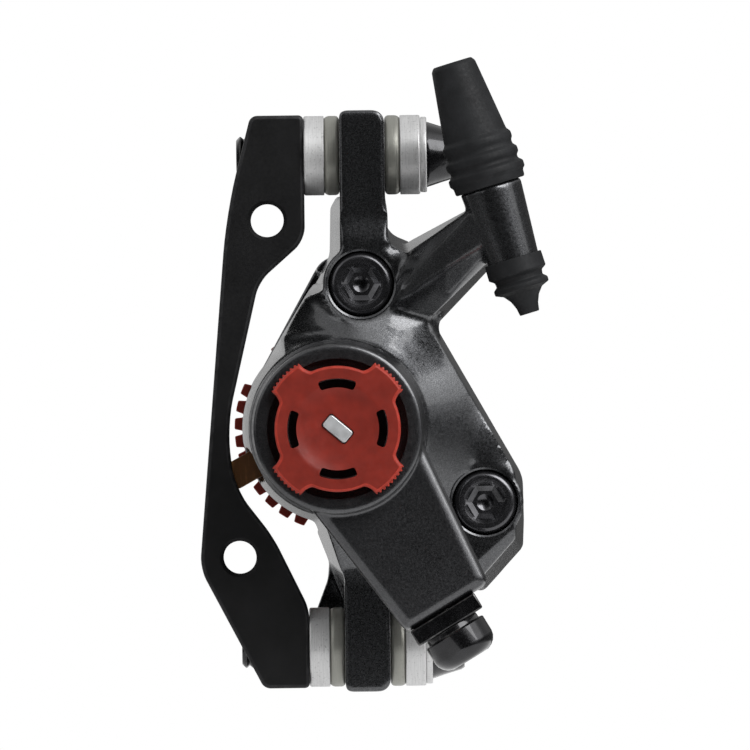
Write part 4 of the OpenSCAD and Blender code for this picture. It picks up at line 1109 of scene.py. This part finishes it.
class CALIPER_OT_knob(bpy.types.Operator):
    """Model the outboard adjuster knob and the spindle in it"""

    bl_idname = "caliper.knob"
    bl_label = "Outboard knob"

    def execute(self, context):
        sizes = context.scene.caliper_sizes
        self.knob(sizes)
        self.spindle()
        return {"FINISHED"}

    def knob(self, sizes):
        """Four lobes with knurled edges, a dished face, four curved slots and the tip's hole."""
        low, high = box("outboard_knob")
        front, back = low.y, high.y
        lobe_back = box("actuating_arm")[0].y - 0.3
        rim, lobe, edge, edge_steps = 9.45, 11.2, 0.4, 4
        solid = bmesh.new()
        bmesh.ops.create_circle(solid, cap_ends=True, segments=768, radius=1)
        lip = solid.edges[:]
        for step in range(edge_steps + 1):
            turn = math.radians(step * 90 / edge_steps)
            height = front + edge * (1 - math.cos(turn))
            if step > 0:
                lip = self.drawn(solid, lip, height)
            for vert in {v for e in lip for v in e.verts}:
                around = math.atan2(vert.co.y, vert.co.x)
                reach = self.lobed(around, rim, lobe, edge * (1 - math.sin(turn)))
                vert.co = (reach * math.cos(around), reach * math.sin(around), height)
        edge_layer = solid.faces.layers.float.new("edge")
        for face in solid.faces:
            face[edge_layer] = float(len(face.verts) == 4)
        lip = self.drawn(solid, lip, front + 0.7)
        lip = self.drawn(solid, lip, front + 0.8)
        self.knurl(lip, sizes.knurl_depth / MM, sizes.knurl_teeth, rim + 1.2)
        lip = self.drawn(solid, lip, lobe_back)
        lip = self.drawn(solid, lip, lobe_back)
        for vert in {v for e in lip for v in e.verts}:
            scale = min(1, rim / vert.co.xy.length)
            vert.co = (vert.co.x * scale, vert.co.y * scale, vert.co.z)
        lip = self.drawn(solid, lip, back)
        bmesh.ops.edgeloop_fill(solid, edges=lip)
        bmesh.ops.remove_doubles(solid, verts=solid.verts, dist=1e-4)
        bmesh.ops.recalc_face_normals(solid, faces=solid.faces)
        bmesh.ops.transform(solid, matrix=AT_PIVOT, verts=solid.verts)
        cutters = [
            turned(
                [(0, front - 1), (8.2, front - 1), (7.2, front), (6.5, front + 0.2), (5.8, front + 0.48),
                 (5, front + 0.68), (4, front + 0.82), (2, front + 0.95), (0, front + 1)],
                AT_PIVOT,
            ),
            prism(self.tip_outline(0.14), front - 1, back + 1, ON_PIVOT),
            rod(2.9, front + 3.4, back + 1, AT_PIVOT),
            turned([(7.1, back - 1.1), (8.9, back - 1.1), (8.9, back + 1), (7.1, back + 1)], AT_PIVOT),
        ]
        cutters += [self.slot(turn, front - 1, back + 1) for turn in (0, 90, 180, 270)]
        piece(carved(solid, *cutters), "adjuster_knob", "knob", "knob_red", ["outboard_knob"])

    def lobed(self, around, rim, lobe, inset):
        """The knob's radius at an angle, inside its outline by an inset."""
        off = abs(math.degrees(around) % 90 - 45)
        half_lobe, flank = 23 - 5 * inset, 8.6
        rise = held((half_lobe - off) / flank)
        return rim + (lobe - rim) * rise ** 2.4 - inset

    def drawn(self, solid, lip, height):
        """Draw a loop of edges on to a height, and give back the new loop."""
        made = bmesh.ops.extrude_edge_only(solid, edges=lip)["geom"]
        for vert in (item for item in made if isinstance(item, bmesh.types.BMVert)):
            vert.co.z = height
        return [item for item in made if isinstance(item, bmesh.types.BMEdge)
                and all(abs(v.co.z - height) < 1e-6 for v in item.verts)]

    def knurl(self, lip, depth, teeth, from_radius):
        """Raise teeth along the lobes' edges."""
        for vert in {v for e in lip for v in e.verts}:
            radius = vert.co.xy.length
            if radius > from_radius:
                wave = math.cos(math.atan2(vert.co.y, vert.co.x) * teeth)
                scale = 1 + depth * (0.5 + 0.5 * wave) / radius
                vert.co = (vert.co.x * scale, vert.co.y * scale, vert.co.z)

    def tip_outline(self, gap):
        """The spindle tip's outline, a rounded rectangle turned down to the right."""
        half_long, half_wide, turn = 2.2 + gap, 1.1 + gap, math.radians(-40)
        corners = ((-1, -1), (1, -1), (1, 1), (-1, 1))
        points = [Matrix.Rotation(turn, 2) @ Vector((a * half_long, b * half_wide)) for a, b in corners]
        return [(point.x, point.y, 0.45) for point in points]

    def slot(self, turn, low, high):
        """A cutter for one curved slot."""
        solid = bmesh.new()
        half_angle, inner, outer, corner = 23, 6.2, 7.55, 0.45
        start = math.radians(turn - half_angle)
        verts = [
            solid.verts.new((radius * math.cos(start), radius * math.sin(start), height))
            for radius, height in ((inner, low), (outer, low), (outer, high), (inner, high))
        ]
        face = solid.faces.new(verts)
        bmesh.ops.spin(
            solid,
            geom=[face],
            cent=(0, 0, 0),
            axis=(0, 0, 1),
            angle=math.radians(2 * half_angle),
            steps=16,
            use_merge=False,
        )
        bmesh.ops.remove_doubles(solid, verts=solid.verts, dist=1e-4)
        bmesh.ops.recalc_face_normals(solid, faces=solid.faces)
        upright = [e for e in solid.edges if abs(e.verts[0].co.z - e.verts[1].co.z) > 1]
        corners = [e for e in upright if e.calc_face_angle() > math.radians(60)]
        bevelled(solid, corners, corner, 5)
        bmesh.ops.transform(solid, matrix=AT_PIVOT, verts=solid.verts)
        return solid

    def spindle(self):
        """The spindle's flatted tip on its round shaft."""
        low, high = box("adjuster_spindle")
        cup_y = box("actuating_arm")[0].y + KNOB_CUP
        tip = prism(self.tip_outline(0), low.y, cup_y + 1, ON_PIVOT)
        tip = round_edges(tip, 0.22, 3, sharp=50)
        ramp_y = box("pressure_ramp")[0].y
        shaft = turned(
            [(0, cup_y + 0.4), (2.3, cup_y + 0.4), (2.5, cup_y + 0.6), (2.5, ramp_y - 0.4),
             (3, ramp_y - 0.4), (3, high.y), (0, high.y)],
            AT_PIVOT,
            64,
        )
        whole = carved(tip, shaft, operation="UNION")
        piece(whole, "spindle_tip", "spindle", "steel", ["adjuster_spindle"])


class CALIPER_OT_wheel(bpy.types.Operator):
    """Model the toothed inboard adjuster wheel"""

    bl_idname = "caliper.wheel"
    bl_label = "Inboard wheel"

    def execute(self, context):
        low, high = box("inboard_knob")
        front, back = low.y, high.y
        teeth, root, crest, phase = 36, 14.6, 15.8, 0.36
        first, run, group = 15, 10, 12
        solid = bmesh.new()
        bmesh.ops.create_circle(solid, cap_ends=True, segments=teeth * 10, radius=1)
        for vert in solid.verts:
            turn = math.atan2(-vert.co.y, vert.co.x) / FULL_TURN * teeth - phase
            count = math.floor(turn)
            toothed = (count - first) % group < run and 0.03 < turn - count < 0.65
            reach = crest if toothed else root
            vert.co = (vert.co.x * reach, vert.co.y * reach, front)
        made = bmesh.ops.extrude_face_region(solid, geom=solid.faces[:])["geom"]
        for vert in (item for item in made if isinstance(item, bmesh.types.BMVert)):
            vert.co.z = back
        bmesh.ops.recalc_face_normals(solid, faces=solid.faces)
        solid = round_edges(solid, 0.16, 2, sharp=35)
        bmesh.ops.transform(solid, matrix=AT_PIVOT, verts=solid.verts)
        dish = turned([(5.8, back - 2.2), (12.2, back - 2.2), (12.6, back + 1), (5.8, back + 1)], AT_PIVOT)
        grip = block((-14 + PIVOT.x, back - 4, -2 + PIVOT.z), (14 + PIVOT.x, back + 2, 2 + PIVOT.z))
        bore = rod(3.05, front - 1, back + 1, AT_PIVOT)
        screw_seat = rod(3.85, back - 1.8, back + 1, AT_PIVOT)
        solid = carved(solid, carved(dish, grip), bore, screw_seat)
        piece(solid, "adjuster_wheel", "wheel", "knob_red", ["inboard_knob"], shaded_wheel_red())
        return {"FINISHED"}


class CALIPER_OT_inner(bpy.types.Operator):
    """Ease the pad plates' edges, and give the pads and the ramp drive their finishes"""

    bl_idname = "caliper.inner"
    bl_label = "Pads and ramp drive"

    def execute(self, context):
        bodies = frame["record"]["behaviour"]["bodies"]
        home = {node: body for body, nodes in bodies.items() for node in nodes}
        slots = {part["node"]: part["material_slot"] for part in frame["record"]["subparts"]}
        for node in ("outboard_pad_plate", "inboard_pad_plate"):
            solid = node_copy(node)
            bmesh.ops.dissolve_limit(
                solid, angle_limit=math.radians(1), verts=solid.verts, edges=solid.edges
            )
            solid = round_edges(solid, 0.15, 2, sharp=45)
            piece(solid, node + "_eased", home[node], slots[node], [node])
        for node, thing in frame["nodes"].items():
            if not thing.hide_render:
                thing.data.materials.clear()
                thing.data.materials.append(finishes()[slots[node]])
        return {"FINISHED"}


class CALIPER_PT_panel(bpy.types.Panel):
    """Sizes, colours and building steps of the caliper"""

    bl_idname = "CALIPER_PT_panel"
    bl_label = "Disc Brake Caliper"
    bl_space_type = "VIEW_3D"
    bl_region_type = "UI"
    bl_category = "Caliper"

    def draw(self, context):
        for group in (context.scene.caliper_sizes, context.scene.caliper_colours):
            column = self.layout.column(align=True)
            for name in group.__annotations__:
                column.prop(group, name)
        for operator in OPERATORS:
            self.layout.operator(operator.bl_idname)


OPERATORS = (
    CALIPER_OT_stage,
    CALIPER_OT_adapter,
    CALIPER_OT_post_bolts,
    CALIPER_OT_washers,
    CALIPER_OT_castings,
    CALIPER_OT_body_bolts,
    CALIPER_OT_rubber,
    CALIPER_OT_arm,
    CALIPER_OT_cable_clamp,
    CALIPER_OT_knob,
    CALIPER_OT_wheel,
    CALIPER_OT_inner,
)
CLASSES = (CaliperSizes, CaliperColours, *OPERATORS, CALIPER_PT_panel)


def register():
    for cls in CLASSES:
        bpy.utils.register_class(cls)
    bpy.types.Scene.caliper_sizes = PointerProperty(type=CaliperSizes)
    bpy.types.Scene.caliper_colours = PointerProperty(type=CaliperColours)


def unregister():
    del bpy.types.Scene.caliper_colours
    del bpy.types.Scene.caliper_sizes
    for cls in reversed(CLASSES):
        bpy.utils.unregister_class(cls)


def main():
    register()
    bpy.ops.caliper.stage()
    bpy.ops.caliper.adapter()
    bpy.ops.caliper.post_bolts()
    bpy.ops.caliper.washers()
    bpy.ops.caliper.castings()
    bpy.ops.caliper.body_bolts()
    bpy.ops.caliper.rubber()
    bpy.ops.caliper.arm()
    bpy.ops.caliper.cable_clamp()
    bpy.ops.caliper.knob()
    bpy.ops.caliper.wheel()
    bpy.ops.caliper.inner()


if __name__ == "__main__":
    main()
